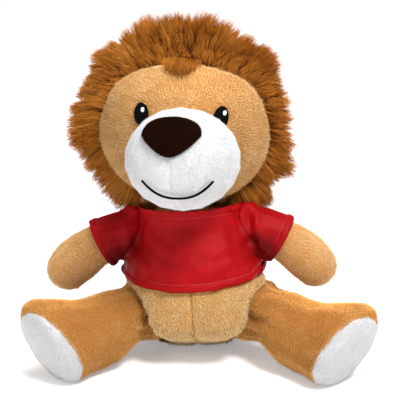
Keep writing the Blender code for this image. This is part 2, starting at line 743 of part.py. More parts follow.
def make_mouth(muzzle, cloths):
    """One smiling line of black satin stitch across the muzzle."""
    share = np.linspace(-1, 1, MUZZLE_COLUMNS)
    x = MOUTH_SHIFT + share * MOUTH_WIDTH / 2
    z = -MOUTH_DROP + MOUTH_RISE * np.abs(share) ** MOUTH_POWER
    slope = np.gradient(z) / np.gradient(x)
    taper = np.sqrt(1 - (share * MOUTH_TAPER_SHARE) ** MOUTH_TAPER_POWER)
    half = MOUTH_THREAD / 2 * taper / np.hypot(1, slope)
    line = np.stack((x, z), axis=-1)
    aside = np.stack((-slope * half, half), axis=-1)
    edge = np.concatenate((line + aside, (line - aside)[::-1]))
    spine = np.concatenate((line, line[::-1]))
    grid = np.array((
        lifted(spine, muzzle_depth, PATCH_LIFT),
        lifted(edge, muzzle_depth, PATCH_LIFT),
        lifted(edge, muzzle_depth, PATCH_LIFT + THREAD_RELIEF / 2),
        lifted(spine, muzzle_depth, PATCH_LIFT + THREAD_RELIEF),
    ))
    faces = sheet_faces(0, len(grid), grid.shape[1], True)
    add_piece("mouth_stitching", grid.reshape(-1, 3), faces, cloths["thread"], muzzle)


def make_head(head, clearance, cloths):
    """Face, mane, muzzle and features over stuffing, all clear of the shoulders."""
    outer = head_form()
    inner = offset(outer, -PLUSH_WALL)
    face = add_panel("face_panel", outer, inner, cloths["face"], head, rows=(0, HEAD_ROWS // 2))
    filling = add_solid("head_filling", offset(outer, -PLUSH_WALL - SEAT_GAP), cloths["filling"], head)
    cut(face, clearance)
    cut(filling, clearance)
    make_mane(outer, inner, head, clearance, cloths)
    muzzle_space = make_muzzle(outer, head, clearance, cloths)
    for side, label in ((-1, "left"), (1, "right")):
        middle = np.array((side * EYE_X, EYE_Z))
        half = THREAD_RELIEF / 2
        outline = eye_outline(middle)
        eye = add_patch("eye_" + label, outline, middle, face_depth, half, half, cloths["thread"], head)
        cut(eye, muzzle_space)


def make_mane(outer, inner, head, clearance, cloths):
    """Long-pile panels round the face, and the one at the back of the head."""
    fur = mane_form(outer)
    lining = inner[HEAD_ROWS // 2:].copy()
    for grid in (fur, lining):
        pull(grid[0], grid[1].copy(), SEAM_GAP / 2)
    for name, ends in MANE_COLUMN_SHARES.items():
        columns = [round(end * HEAD_COLUMNS) for end in ends]
        cloth = cloths["face"] if name == "chin_panel" else cloths["fur"]
        cut(add_panel(name, fur, lining, cloth, head, rows=(0, MANE_BAND_ROWS), columns=columns), clearance)
    back_rows = (MANE_BAND_ROWS, len(fur) - 1)
    cut(add_panel("mane_back", fur, lining, cloths["fur"], head, rows=back_rows), clearance)


def make_muzzle(face, head, clearance, cloths):
    """Two cheek halves sewn along the middle, with nose and mouth on them."""
    place = (MUZZLE_SHIFT, -MUZZLE_FORWARD, -MUZZLE_DROP)
    muzzle = pivot("muzzle_pivot", place, head, (-MUZZLE_TILT, -MUZZLE_ROLL, -MUZZLE_TURN))
    outer = muzzle_form()
    inner = offset(outer, -PLUSH_WALL)
    skull_space = grid_cutter("skull_space", offset(face, SEAT_GAP), head)
    half = MUZZLE_COLUMNS // 2
    left = add_panel("muzzle_left", outer, inner, cloths["white"], muzzle, columns=(0, half))
    right = add_panel("muzzle_right", outer, inner, cloths["white"], muzzle, columns=(half, 2 * half))
    filling = add_solid("muzzle_filling", offset(outer, -PLUSH_WALL - SEAT_GAP), cloths["filling"], muzzle)
    for piece in (left, right, filling):
        cut(piece, skull_space, clearance)
    middle = np.array((0.0, NOSE_BOTTOM + NOSE_HEIGHT * NOSE_CORNER_SHARE))
    outline = nose_outline(middle)
    add_patch("nose", outline, middle, muzzle_depth, NOSE_THICKNESS, NOSE_CROWN, cloths["nose"], muzzle)
    make_mouth(muzzle, cloths)
    return grid_cutter("muzzle_space", offset(outer, SEAT_GAP), muzzle)


def make_tail(tail, cloths):
    """A thin tail that leaves the seat at the back and lies round to one side, with its tuft."""
    angle = column_angles(LIMB_COLUMNS)
    up = np.array((0.0, 0.0, 1.0))

    def section(place, turn, radius):
        side = np.array((math.cos(turn), -math.sin(turn), 0.0))
        return place + (np.outer(np.cos(angle), side) + np.outer(np.sin(angle), up)) * radius

    rows = []
    for polar in np.linspace(0, math.pi - math.asin(TAIL_RADIUS / TAIL_BALL), 2 * DOME_ROWS):
        place = np.array((0.0, -TAIL_BALL * math.cos(polar), 0.0))
        rows.append(section(place, 0.0, TAIL_BALL * math.sin(polar)))
    step = TAIL_LENGTH / TAIL_ROWS
    for share in np.linspace(0, 1, TAIL_ROWS + 1)[1:]:
        heading = np.array((math.sin(TAIL_TURN * share), math.cos(TAIL_TURN * share), 0.0))
        place = place + heading * step
        rows.append(section(place, TAIL_TURN * share, TAIL_RADIUS))
    rows.append(section(place, TAIL_TURN, 0.0))
    add_solid("tail", np.array(rows), cloths["limb"], tail)
    start = place + heading * SEAT_GAP
    rows = []
    for share in np.linspace(0, 1, TUFT_ROWS + 1):
        swell = math.sin(math.pi * share ** TUFT_PLACE_POWER) ** TUFT_POWER if 0 < share < 1 else 0
        rows.append(section(start + heading * TUFT_LENGTH * share, TAIL_TURN, TUFT_RADIUS * swell))
    add_solid("tail_tuft", np.array(rows), cloths["fur"], tail)


def shoulder_space(seat):
    """What the head stays clear of as it turns: the neck, the collar, the shoulders and the sleeves."""
    sleeve_top = SHOULDER_Z + ARM_RADIUS + SEAT_GAP + KNIT_WALL + SLEEVE_MARGIN
    top = max(NECK_HEIGHT, COLLAR_HEIGHT + SEAM_GAP + COLLAR_BAND) + SEAM_GAP
    radii = np.array((0.0, BODY_WIDTH / 2 * NECK_SHARE, SHOULDER_X, 2 * SHOULDER_X, 2 * SHOULDER_X, 0.0))
    heights = np.array((top, top, sleeve_top, sleeve_top, 0.0, 0.0))
    angle = column_angles(SOCKET_COLUMNS)
    grid = np.stack((
        np.outer(radii, np.sin(angle)),
        np.outer(radii, -np.cos(angle)),
        np.outer(heights, np.ones(SOCKET_COLUMNS)),
    ), axis=-1)
    return grid_cutter("shoulder_space", grid, seat)


def build():
    """The whole toy."""
    clear_scene()
    cloths = {
        "body": cloth_material("belly_plush", PALE_PLUSH, 0.9),
        "limb": cloth_material("tan_plush", TAN_PLUSH, 0.9),
        "leg": cloth_material("leg_plush", TAN_PLUSH, 0.9),
        "face": cloth_material("face_plush", TAN_PLUSH, 0.9),
        "fur": cloth_material("mane_fur", RUST_FUR, 0.85),
        "white": cloth_material("white_plush", WHITE_PLUSH, 0.9),
        "nose": cloth_material("nose_plush", BROWN_PLUSH, 0.9),
        "thread": cloth_material("black_thread", BLACK_THREAD, 0.5),
        "knit": cloth_material("shirt_knit", RED_KNIT, 0.7),
        "collar": cloth_material("collar_knit", RED_KNIT, 0.7),
        "filling": cloth_material("polyester_filling", WHITE_FIBRE, 1.0),
        "pouch": cloth_material("pouch_cloth", PELLET_CLOTH, 0.9),
    }
    toy = pivot("toy_middle", (0.0, -SEAT_MIDDLE, 0.0))
    seat = pivot("seat_pivot", (-BODY_SHIFT, 0.0, 0.0), toy, (0.0, -BODY_LEAN, 0.0))
    wide = BODY_WIDTH * 2
    floor = block_cutter("floor_space", (wide, wide, OVERRUN / 2), (0.0, 0.0, -OVERRUN / 2), None)
    sides = ((-1, "left"), (1, "right"))
    shoulders, arm_spaces, hips, hip_sockets = {}, {}, {}, {}
    for side, label in sides:
        place = (side * SHOULDER_X, SHOULDER_Y, SHOULDER_Z)
        shoulders[label] = pivot("shoulder_" + label, place, seat, (0.0, BODY_LEAN, 0.0))
        arm_spaces[label] = arm_space(side, label, shoulders[label])
        hips[label] = pivot("hip_" + label, (side * HIP_X, HIP_Y, HIP_Z), toy)
        reach, height = HIP_REACH + SEAT_GAP, HIP_Z + SEAT_GAP
        hip_sockets[label] = socket_cutter("leg_socket_" + label, reach, height, HIP_POWER, hips[label])
    tail = pivot("tail_pivot", (0.0, TAIL_Y, TAIL_Z), toy)
    tail_reach = TAIL_BALL + SEAT_GAP
    tail_socket = socket_cutter("tail_socket", tail_reach, tail_reach, 2, tail)
    make_body(seat, floor, arm_spaces, hip_sockets, tail_socket, cloths)
    make_shirt(seat, arm_spaces, cloths)
    for side, label in sides:
        make_arm(side, label, shoulders[label], cloths)
        make_leg(side, label, hips[label], floor, cloths)
    make_tail(tail, cloths)
    neck = pivot("neck_pivot", (0.0, 0.0, NECK_HEIGHT), seat, (0.0, 0.0, -HEAD_TURN))
    head = pivot("head_middle", (0.0, HEAD_BACK_SHIFT, HEAD_LIFT), neck, (0.0, HEAD_LEAN, 0.0))
    make_head(head, shoulder_space(seat), cloths)


build()
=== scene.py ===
"""Looks of the seated plush lion: pile, fur, knitted shirt, seams, stitches, light and camera.

Metres, +Z up, the lion faces -Y. Left and right are those of somebody who looks at its face.
"""
import math
from contextlib import contextmanager

import bmesh
import bpy
import numpy as np
from mathutils import Euler, Matrix, Vector, noise
from mathutils.bvhtree import BVHTree


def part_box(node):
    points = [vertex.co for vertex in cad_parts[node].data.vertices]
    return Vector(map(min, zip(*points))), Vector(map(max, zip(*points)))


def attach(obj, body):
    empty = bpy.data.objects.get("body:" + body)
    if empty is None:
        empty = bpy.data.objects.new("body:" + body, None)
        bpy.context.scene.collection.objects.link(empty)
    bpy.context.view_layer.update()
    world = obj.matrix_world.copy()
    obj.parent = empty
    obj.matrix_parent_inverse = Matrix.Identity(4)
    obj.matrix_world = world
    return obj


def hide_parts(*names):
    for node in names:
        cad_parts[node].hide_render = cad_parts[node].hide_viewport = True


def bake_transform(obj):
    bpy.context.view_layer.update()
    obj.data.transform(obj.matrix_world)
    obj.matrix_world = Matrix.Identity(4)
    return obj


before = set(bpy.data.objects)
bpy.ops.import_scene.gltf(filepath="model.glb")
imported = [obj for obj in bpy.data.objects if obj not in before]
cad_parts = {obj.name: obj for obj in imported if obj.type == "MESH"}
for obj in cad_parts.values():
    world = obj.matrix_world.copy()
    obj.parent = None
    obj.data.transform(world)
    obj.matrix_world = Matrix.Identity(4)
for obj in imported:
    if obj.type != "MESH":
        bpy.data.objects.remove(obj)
# Without a seed of its own, noise_vector gives other numbers in each run
noise.seed_set(1)
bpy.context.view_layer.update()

# Camera, fitted to the photograph
CAMERA_TARGET = (-0.0013, 0.0, 0.0959)
CAMERA_DISTANCE = 1.05
CAMERA_AZIMUTH = math.radians(2)
CAMERA_ELEVATION = math.radians(17)
PICTURE_WIDTH = 0.260

# How the toy sits and its main sizes, as in the model
BODY_LEAN = math.radians(3.0)
BODY_SHIFT = 0.0020
SEAT_MIDDLE = 0.0120
NECK_HEIGHT = 0.0994
HEAD_TURN = math.radians(5.0)
HEAD_LEAN = math.radians(4.2)
HEAD_LIFT = 0.0465
HEAD_BACK_SHIFT = 0.0020
HEAD_WIDTH = 0.1130
HEAD_HEIGHT = 0.0960
HEAD_FRONT = 0.0440
FACE_EDGE_ANGLE = math.radians(74)
MUZZLE_WIDTH = 0.0700
MUZZLE_HEIGHT = 0.0635
MUZZLE_REACH = 0.0390
MUZZLE_PLACE = (0.0040, -0.0440, -0.0070)
MUZZLE_TURN = (math.radians(-15), math.radians(-4), math.radians(-5))
MUZZLE_POWER = 2.5
HEM_HEIGHT = 0.0535
COLLAR_TOP = 0.0983
COLLAR_HALF = (0.0328, 0.0320)
COLLAR_START = 0.0860
COLLAR_STRETCH = 0.60
COLLAR_TILT = 0.12
SHOULDER = (0.0398, -0.0030, 0.0800)
ARM_LENGTH = 0.0468
ARM_DROP = (math.radians(14), math.radians(47))
ARM_SWEEP = math.radians(6)
SLEEVE_SHARE = 3 / 7
HIP = (0.0360, -0.0140, 0.0240)
SOLE = (0.0942, -0.0640)
SOLE_LENGTH = 0.0520
SOLE_WIDTH = 0.0430
SOLE_TURN = math.radians(38)
SOLE_DROP = math.radians(21)
SOLE_INWARD = 0.18
FLOOR_FLAT = 0.0005

# Pile and fur
PILE_LENGTH = 0.0030
PILE_WIDTH = 0.00042
SHORT_PILE_LENGTH = 0.0017
SHORT_PILE_WIDTH = 0.00032
PILE_SINK = 0.0014
FUR_SINK = 0.0124
FUR_LENGTH = 0.0178
FUR_WIDTH = 0.00020

# How far the belly swells over the legs, and how far the legs draw in where they meet it
BELLY_SWELL = 0.0090
BELLY_LIFT = 0.0085
BELLY_MIDDLE = 0.028
BELLY_BAND = 0.019
LEG_ROOT_LIFT = 0.0055
LEG_ROOT_SINK = 0.0078
# How far the upper corners of the face stand out from an oval
FACE_CORNER = 0.0034
# The tail's tuft: how much slimmer than its solid, and how far its end droops
TUFT_SLIM = 0.36
TUFT_DROOP = 0.0080
# The lock over the face: place seen from the front, width, height and length
FORELOCK = (-0.0034, 0.0470)
FORELOCK_WIDTH = 0.0250
FORELOCK_HEIGHT = 0.0016
FORELOCK_LENGTH = 0.0175
# Stitches: distance from one to the next, length and width
SHIRT_STITCH = {"Pitch": 0.0021, "Length": 0.0012, "Width": 0.00045}
SEAM_STITCH = {"Pitch": 0.0010, "Length": 0.0012, "Width": 0.0006}
# The shirt's cloth: its thickness, and how far from each edge its fold is sewn
KNIT_THICKNESS = 0.0010
HEM_FOLD = 0.0050
COLLAR_FOLD = 0.0048

SIDES = ((-1, "left"), (1, "right"))


def placed(place, turn=(0.0, 0.0, 0.0), parent=None):
    """A frame moved by place and turned, within another."""
    return (parent or Matrix()) @ Matrix.Translation(place) @ Euler(turn).to_matrix().to_4x4()


TOY = placed((0.0, -SEAT_MIDDLE, 0.0))
SEAT = placed((-BODY_SHIFT, 0.0, 0.0), (0.0, -BODY_LEAN, 0.0), TOY)
NECK = placed((0.0, 0.0, NECK_HEIGHT), (0.0, 0.0, -HEAD_TURN), SEAT)
HEAD = placed((0.0, HEAD_BACK_SHIFT, HEAD_LIFT), (0.0, HEAD_LEAN, 0.0), NECK)
MUZZLE = placed(MUZZLE_PLACE, MUZZLE_TURN, HEAD)


def turned(vectors, matrix):
    """Directions of a frame, in the world."""
    return np.asarray(vectors, float) @ np.array(matrix.to_3x3()).T


def outside(points, matrix):
    """Places of a frame, in the world."""
    return turned(points, matrix) + np.array(matrix.translation)


def inside(points, matrix):
    """Places of the world, in a frame."""
    return (np.asarray(points, float) - np.array(matrix.translation)) @ np.array(matrix.to_3x3())


def unit(vectors):
    """Vectors of length one."""
    length = np.linalg.norm(vectors, axis=-1, keepdims=True)
    return vectors / np.maximum(length, 1e-12)


def clamp(values):
    """Numbers held between nought and one."""
    return np.clip(values, 0, 1)


def colour(text):
    """Linear colour from an sRGB hex value."""
    parts = [int(text[i:i + 2], 16) / 255 for i in (1, 3, 5)]
    return (*(p / 12.92 if p <= 0.04045 else ((p + 0.055) / 1.055) ** 2.4 for p in parts), 1.0)


def add_node(tree, kind, inputs=None, **settings):
    """A node with its settings, its values and its links."""
    made = tree.nodes.new(kind)
    for name, value in settings.items():
        setattr(made, name, value)
    for key, value in (inputs or {}).items():
        if isinstance(value, bpy.types.NodeSocket):
            tree.links.new(value, made.inputs[key])
        else:
            made.inputs[key].default_value = value
    return made


def socket(tree, kind, inputs=None, **settings):
    """The first output of a new node."""
    return add_node(tree, kind, inputs, **settings).outputs[0]


# Meshes

def rows_of(items, name, wide, kind=float):
    """What a mesh keeps for its points or edges, one row for each."""
    found = np.empty(len(items) * wide, kind)
    items.foreach_get(name, found)
    return found.reshape(-1, wide)


def points_of(mesh):
    """A mesh's points."""
    return rows_of(mesh.vertices, "co", 3)


def normals_of(mesh):
    """A mesh's normals at its points."""
    return rows_of(mesh.vertex_normals, "vector", 3)


def move_points(mesh, places):
    """Give a mesh's points new places."""
    mesh.vertices.foreach_set("co", np.ascontiguousarray(places).ravel())
    mesh.update()


def smooth(mesh, rounds):
    """Round a mesh off without shrinking it."""
    first, second = rows_of(mesh.edges, "vertices", 2, int).T
    places = points_of(mesh)
    count = len(places)
    near = np.maximum(np.bincount(first, minlength=count) + np.bincount(second, minlength=count), 1)
    for step in range(2 * rounds):
        mean = np.stack([
            np.bincount(first, places[second, axis], count) + np.bincount(second, places[first, axis], count)
            for axis in range(3)
        ], axis=-1) / near[:, None]
        places += (mean - places) * (0.55 if step % 2 == 0 else -0.56)
    move_points(mesh, places)


def evaluated_mesh(piece):
    """The mesh that an object's modifiers make, once the object is gone."""
    bpy.context.view_layer.update()
    graph = bpy.context.evaluated_depsgraph_get()
    made = bpy.data.meshes.new_from_object(
        piece.evaluated_get(graph), preserve_all_data_layers=True, depsgraph=graph
    )
    bpy.data.objects.remove(piece)
    return made


def object_of(name, mesh):
    """An object at the origin that shows a mesh, a lamp or a camera."""
    piece = bpy.data.objects.new(name, mesh)
    bpy.context.collection.objects.link(piece)
    return piece


@contextmanager
def edited(mesh, result=None):
    """A mesh's parts, open to changes, which are kept in the mesh or in another one."""
    shape = bmesh.new()
    shape.from_mesh(mesh)
    yield shape
    shape.to_mesh(result or mesh)
    shape.free()


def largest_island(mesh):
    """Keep only the largest connected skin of a mesh."""
    with edited(mesh) as shape:
        left = set(shape.verts)
        islands = []
        while left:
            seed = left.pop()
            island, edge = [seed], [seed]
            while edge:
                found = [link.other_vert(vert) for vert in edge for link in vert.link_edges]
                edge = [vert for vert in dict.fromkeys(found) if vert in left]
                left.difference_update(edge)
                island += edge
            islands.append(island)
        islands.sort(key=len)
        for island in islands[:-1]:
            bmesh.ops.delete(shape, geom=island, context="VERTS")


def skin_of(nodes, grain, rounds):
    """One closed, rounded skin about some of the model's solids."""
    shape = bmesh.new()
    for name in nodes:
        shape.from_mesh(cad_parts[name].data)
    bmesh.ops.remove_doubles(shape, verts=shape.verts, dist=0.000002)
    mesh = bpy.data.meshes.new("skin")
    shape.to_mesh(mesh)
    shape.free()
    piece = object_of("skin", mesh)
    remesh = piece.modifiers.new("skin", "REMESH")
    remesh.mode = "VOXEL"
    remesh.voxel_size = grain
    mesh = evaluated_mesh(piece)
    mesh.materials.clear()
    largest_island(mesh)
    smooth(mesh, rounds)
    return mesh


def bisected(shape, place, normal, **settings):
    """Cut a skin along a plane; gives the edges that lie in the cut."""
    made = bmesh.ops.bisect_plane(
        shape, geom=shape.verts[:] + shape.edges[:] + shape.faces[:], dist=0.00001,
        plane_co=Vector(place), plane_no=Vector(normal), **settings,
    )
    return [item for item in made["geom_cut"] if isinstance(item, bmesh.types.BMEdge)]


def cut_by(mesh, place, normal, fill=False):
    """Take off what lies beyond a plane, and close the cut if asked."""
    with edited(mesh) as shape:
        edges = bisected(shape, place, normal, clear_outer=True)
        if fill:
            bmesh.ops.triangle_fill(shape, edges=edges, use_beauty=True)
            bmesh.ops.recalc_face_normals(shape, faces=shape.faces)
    mesh.update()


def cut_line(mesh, place, normal):
    """Where a plane crosses a skin, as a mesh of edges."""
    line = bpy.data.meshes.new("line")
    with edited(mesh, line) as shape:
        cut = set(bisected(shape, place, normal))
        bmesh.ops.delete(shape, geom=[edge for edge in shape.edges if edge not in cut], context="EDGES")
        loose = [vert for vert in shape.verts if not vert.link_edges]
        bmesh.ops.delete(shape, geom=loose, context="VERTS")
    return line


def keep_points(line, wanted):
    """Keep the points of a line that a rule wants, judged in the seat's frame."""
    with edited(line) as shape:
        places = inside([vert.co for vert in shape.verts], SEAT)
        spare = [vert for vert, place in zip(shape.verts, places) if not wanted(place)]
        bmesh.ops.delete(shape, geom=spare, context="VERTS")


def write(mesh, **layers):
    """Keep numbers or vectors for each point; a single one goes to all of them."""
    for name, values in layers.items():
        values = np.asarray(values, float)
        if values.ndim == 0 or len(values) != len(mesh.vertices):
            values = np.broadcast_to(values, (len(mesh.vertices), *values.shape))
        vector = values.ndim == 2
        layer = mesh.attributes.new(name, "FLOAT_VECTOR" if vector else "FLOAT", "POINT")
        layer.data.foreach_set("vector" if vector else "value", np.ascontiguousarray(values).ravel())


def ripple(places, size, seed, source=noise.noise):
    """Smooth random numbers from -1 to 1 over places, or vectors if the source gives them."""
    shift = Vector((seed * 3.7, seed * 1.3, seed * 2.1))
    return np.array([source(Vector(place) / size + shift) for place in places])


# Trees that grow pile, fur and stitches

def new_tree(name, **sockets):
    """A geometry tree with its inputs, and one mesh that it gives."""
    tree = bpy.data.node_groups.new(name, "GeometryNodeTree")
    for label, kind in sockets.items():
        tree.interface.new_socket(name=label, in_out="INPUT", socket_type="NodeSocket" + kind)
    tree.interface.new_socket(name="Mesh", in_out="OUTPUT", socket_type="NodeSocketGeometry")
    return tree, add_node(tree, "NodeGroupInput").outputs


def named(tree, label, kind="FLOAT"):
    """A value kept on the mesh, as a socket."""
    return socket(tree, "GeometryNodeInputNamedAttribute", {"Name": label}, data_type=kind)


def noted(tree, geometry, label, value, kind="FLOAT"):
    """Geometry that keeps a value at its points."""
    return socket(
        tree, "GeometryNodeStoreNamedAttribute", {"Geometry": geometry, "Name": label, "Value": value},
        data_type=kind, domain="POINT",
    )


def number(tree, operation, *values):
    """What an operation makes of numbers."""
    return socket(tree, "ShaderNodeMath", dict(enumerate(values)), operation=operation)


def times(tree, first, second):
    """The product of two numbers."""
    return number(tree, "MULTIPLY", first, second)


def scaled(tree, vector, share):
    """A vector times a number."""
    return socket(tree, "ShaderNodeVectorMath", {0: vector, "Scale": share}, operation="SCALE")


def combined(tree, operation, first, second):
    """What an operation makes of two vectors."""
    return socket(tree, "ShaderNodeVectorMath", {0: first, 1: second}, operation=operation)


def aimed(tree, way):
    """The rotation that points a thing's Z axis along a vector."""
    return socket(tree, "FunctionNodeAlignRotationToVector", {"Vector": way}, axis="Z")


def slender(tree, width, length):
    """The scale of a strand or a thread."""
    return socket(tree, "ShaderNodeCombineXYZ", {"X": width, "Y": width, "Z": length})


def planted(tree, places, thing, turn, scale):
    """A copy of a thing at each place, as real geometry."""
    copies = socket(
        tree, "GeometryNodeInstanceOnPoints",
        {"Points": places, "Instance": thing, "Rotation": turn, "Scale": scale},
    )
    return socket(tree, "GeometryNodeRealizeInstances", {"Geometry": copies})


def end_tree(tree, geometry, material):
    """Give the geometry its material and close the tree."""
    dyed = socket(tree, "GeometryNodeSetMaterial", {"Geometry": geometry, "Material": material})
    add_node(tree, "NodeGroupOutput", {0: dyed})
    return tree


def roots(tree, given):
    """Places of strands on a skin, each with a random tone, and their way and length."""
    density = times(tree, given["Density"], named(tree, "cover"))
    found = socket(
        tree, "GeometryNodeDistributePointsOnFaces",
        {"Mesh": given["Mesh"], "Density": density, "Seed": given["Seed"]}, distribute_method="RANDOM",
    )
    tone = add_node(tree, "FunctionNodeRandomValue", {"Seed": 3}, data_type="FLOAT")
    places = noted(tree, found, "tone", tone.outputs[1])
    stray = socket(
        tree, "FunctionNodeRandomValue", {0: (-1.0, -1.0, -1.0), 1: (1.0, 1.0, 1.0), "Seed": 5},
        data_type="FLOAT_VECTOR",
    )
    lean = scaled(tree, stray, given["Stray"])
    way = combined(tree, "ADD", named(tree, "comb", "FLOAT_VECTOR"), lean)
    vary = add_node(tree, "FunctionNodeRandomValue", {2: 0.65, 3: 1.1, "Seed": 9}, data_type="FLOAT")
    size = times(tree, times(tree, given["Length"], named(tree, "pile")), vary.outputs[1])
    return places, aimed(tree, way), size


# Density and, for fur, locks are counts per square metre
STRAND_SOCKETS = {
    "Mesh": "Geometry", "Density": "Float", "Length": "Float", "Width": "Float", "Stray": "Float",
    "Seed": "Int", "Material": "Material",
}


def pile_tree():
    """Short pile: thin three-sided spikes that stand on a skin, joined to it."""
    tree, given = new_tree("short_pile", **STRAND_SOCKETS)
    places, turn, size = roots(tree, given)
    cone = socket(
        tree, "GeometryNodeMeshCone",
        {"Vertices": 3, "Radius Top": 0.0, "Radius Bottom": 0.5, "Depth": 1.0}, fill_type="NGON",
    )
    place = socket(tree, "GeometryNodeInputPosition")
    height = add_node(tree, "ShaderNodeSeparateXYZ", {0: place}).outputs["Z"]
    spike = noted(tree, cone, "along", height)
    strands = planted(tree, places, spike, turn, slender(tree, given["Width"], size))
    both = add_node(tree, "GeometryNodeJoinGeometry")
    for part in (given["Mesh"], strands):
        tree.links.new(part, both.inputs[0])
    return end_tree(tree, both.outputs[0], given["Material"])


def fur_tree():
    """Long fur: strands that bend, taper, and draw together into locks."""
    tree, given = new_tree("long_fur", **STRAND_SOCKETS, Locks="Float", Draw="Float", Steps="Int")
    places, turn, size = roots(tree, given)
    locks = socket(
        tree, "GeometryNodeDistributePointsOnFaces",
        {"Mesh": given["Mesh"], "Density": given["Locks"], "Seed": 11},
    )
    here = socket(tree, "GeometryNodeInputPosition")
    nearest = socket(
        tree, "GeometryNodeSampleNearest", {"Geometry": locks, "Sample Position": here}, domain="POINT"
    )
    middle = socket(
        tree, "GeometryNodeSampleIndex", {"Geometry": locks, "Value": here, "Index": nearest},
        data_type="FLOAT_VECTOR", domain="POINT",
    )
    draw = scaled(tree, combined(tree, "SUBTRACT", middle, here), given["Draw"])
    drawn = noted(tree, places, "draw", draw, "FLOAT_VECTOR")
    line = socket(tree, "GeometryNodeCurvePrimitiveLine", {"Start": (0, 0, 0), "End": (0, 0, 1)})
    stepped = socket(tree, "GeometryNodeResampleCurve", {"Curve": line, "Count": given["Steps"]})
    strands = planted(tree, drawn, stepped, turn, size)
    share = socket(tree, "GeometryNodeSplineParameter")
    late = number(tree, "POWER", share, 1.6)
    pull = combined(tree, "ADD", *(named(tree, label, "FLOAT_VECTOR") for label in ("sweep", "draw")))
    bent = socket(tree, "GeometryNodeSetPosition", {"Geometry": strands, "Offset": scaled(tree, pull, late)})
    marked = noted(tree, bent, "along", share)
    taper = number(tree, "SUBTRACT", 1.0, times(tree, late, 0.93))
    ring = socket(tree, "GeometryNodeCurvePrimitiveCircle", {"Resolution": 3, "Radius": 1.0})
    tube = socket(
        tree, "GeometryNodeCurveToMesh",
        {"Curve": marked, "Profile Curve": ring, "Fill Caps": True,
         "Scale": times(tree, taper, given["Width"])},
    )
    return end_tree(tree, tube, given["Material"])


def stitch_tree():
    """Short threads laid end to end along a line."""
    tree, given = new_tree(
        "stitches", Mesh="Geometry", Pitch="Float", Length="Float", Width="Float", Material="Material"
    )
    curve = socket(tree, "GeometryNodeMeshToCurve", {"Mesh": given["Mesh"]})
    stepped = socket(
        tree, "GeometryNodeResampleCurve", {"Curve": curve, "Length": given["Pitch"]}, mode="LENGTH"
    )
    turn = aimed(tree, socket(tree, "GeometryNodeInputTangent"))
    ball = socket(tree, "GeometryNodeMeshUVSphere", {"Segments": 6, "Rings": 4, "Radius": 0.5})
    form = slender(tree, given["Width"], given["Length"])
    threads = planted(tree, stepped, ball, turn, form)
    rounded = socket(tree, "GeometryNodeSetShadeSmooth", {"Geometry": threads})
    return end_tree(tree, rounded, given["Material"])


def grown(mesh, tree, **sizes):
    """What a tree makes of a mesh."""
    piece = object_of("grown", mesh)
    modifier = piece.modifiers.new("grown", "NODES")
    modifier.node_group = tree
    for item in tree.interface.items_tree:
        if item.in_out == "INPUT" and item.name in sizes:
            modifier[item.identifier] = sizes[item.name]
    return evaluated_mesh(piece)


# Materials

def new_material(name, finish):
    """A material with one Principled shader and its own settings."""
    material = bpy.data.materials.new(name)
    material.use_nodes = True
    tree = material.node_tree
    shader = tree.nodes["Principled BSDF"]
    for label, value in finish.items():
        shader.inputs[label].default_value = value
    return material, tree, shader


def object_places(tree, size, turn=0.0):
    """Places on the object, counted in steps of a real size and turned about the Y axis."""
    place = add_node(tree, "ShaderNodeTexCoord").outputs["Object"]
    return socket(
        tree, "ShaderNodeMapping", {"Vector": place, "Rotation": (0.0, turn, 0.0), "Scale": (1 / size,) * 3}
    )


def mixed(tree, share, first, second):
    """Two colours mixed by a share."""
    return add_node(tree, "ShaderNodeMix", {0: share, 6: first, 7: second}, data_type="RGBA").outputs[2]


def limits(tree, value, low, high):
    """A number spread from low and high to nought and one."""
    return socket(
        tree, "ShaderNodeMapRange", {"Value": value, "From Min": low, "From Max": high}, clamp=True
    )


def cloud(tree, size, detail):
    """Soft noise with patches of a real size."""
    return socket(
        tree, "ShaderNodeTexNoise", {"Vector": object_places(tree, size), "Scale": 1.0, "Detail": detail}
    )


def ribs(tree, places, distortion, detail=2.0, **settings):
    """Parallel ribs, one to each step of the places."""
    values = {"Vector": places, "Scale": 0.5, "Distortion": distortion, "Detail": detail}
    return add_node(tree, "ShaderNodeTexWave", values, **settings).outputs["Fac"]


def on_mesh(tree, label):
    """A number that the mesh keeps, as a socket."""
    return add_node(tree, "ShaderNodeAttribute", attribute_name=label).outputs["Fac"]


def paint(tree, shader, tint, height, strength, distance):
    """Give a shader its colour and its fine relief."""
    tree.links.new(tint, shader.inputs["Base Color"])
    bump = socket(tree, "ShaderNodeBump", {"Height": height, "Strength": strength, "Distance": distance})
    tree.links.new(bump, shader.inputs["Normal"])


def pile_material(name, dark_root_and_shade, dark, light, patch=0.011, tone=0.5, sheen=0.06, coat=0.85):
    """Cut pile of fine polyester fibre: dull, with cloudy strokes, and painted shade between the fibres: the
    darker root colour at the foot of each strand and on the bare skin.
    """
    material, tree, shader = new_material(name, {
        "Roughness": coat, "Specular IOR Level": 0.06, "Sheen Weight": sheen, "Sheen Roughness": 0.45,
    })
    strokes, fine = cloud(tree, patch, 3.0), cloud(tree, 0.0014, 2.0)
    spread = number(tree, "MULTIPLY_ADD", on_mesh(tree, "tone"), tone, strokes)
    body = mixed(tree, limits(tree, spread, 0.42, 0.62 + tone), colour(dark), colour(light))
    body = mixed(tree, times(tree, limits(tree, fine, 0.35, 0.65), 0.25), body, colour(dark))
    # Painted shade: towards its foot the pile, and the skin under it, take the darker root colour
    tip = limits(tree, on_mesh(tree, "along"), 0.0, 0.42)
    paint(tree, shader, mixed(tree, tip, colour(dark_root_and_shade), body), fine, 0.5, 0.0005)
    return material
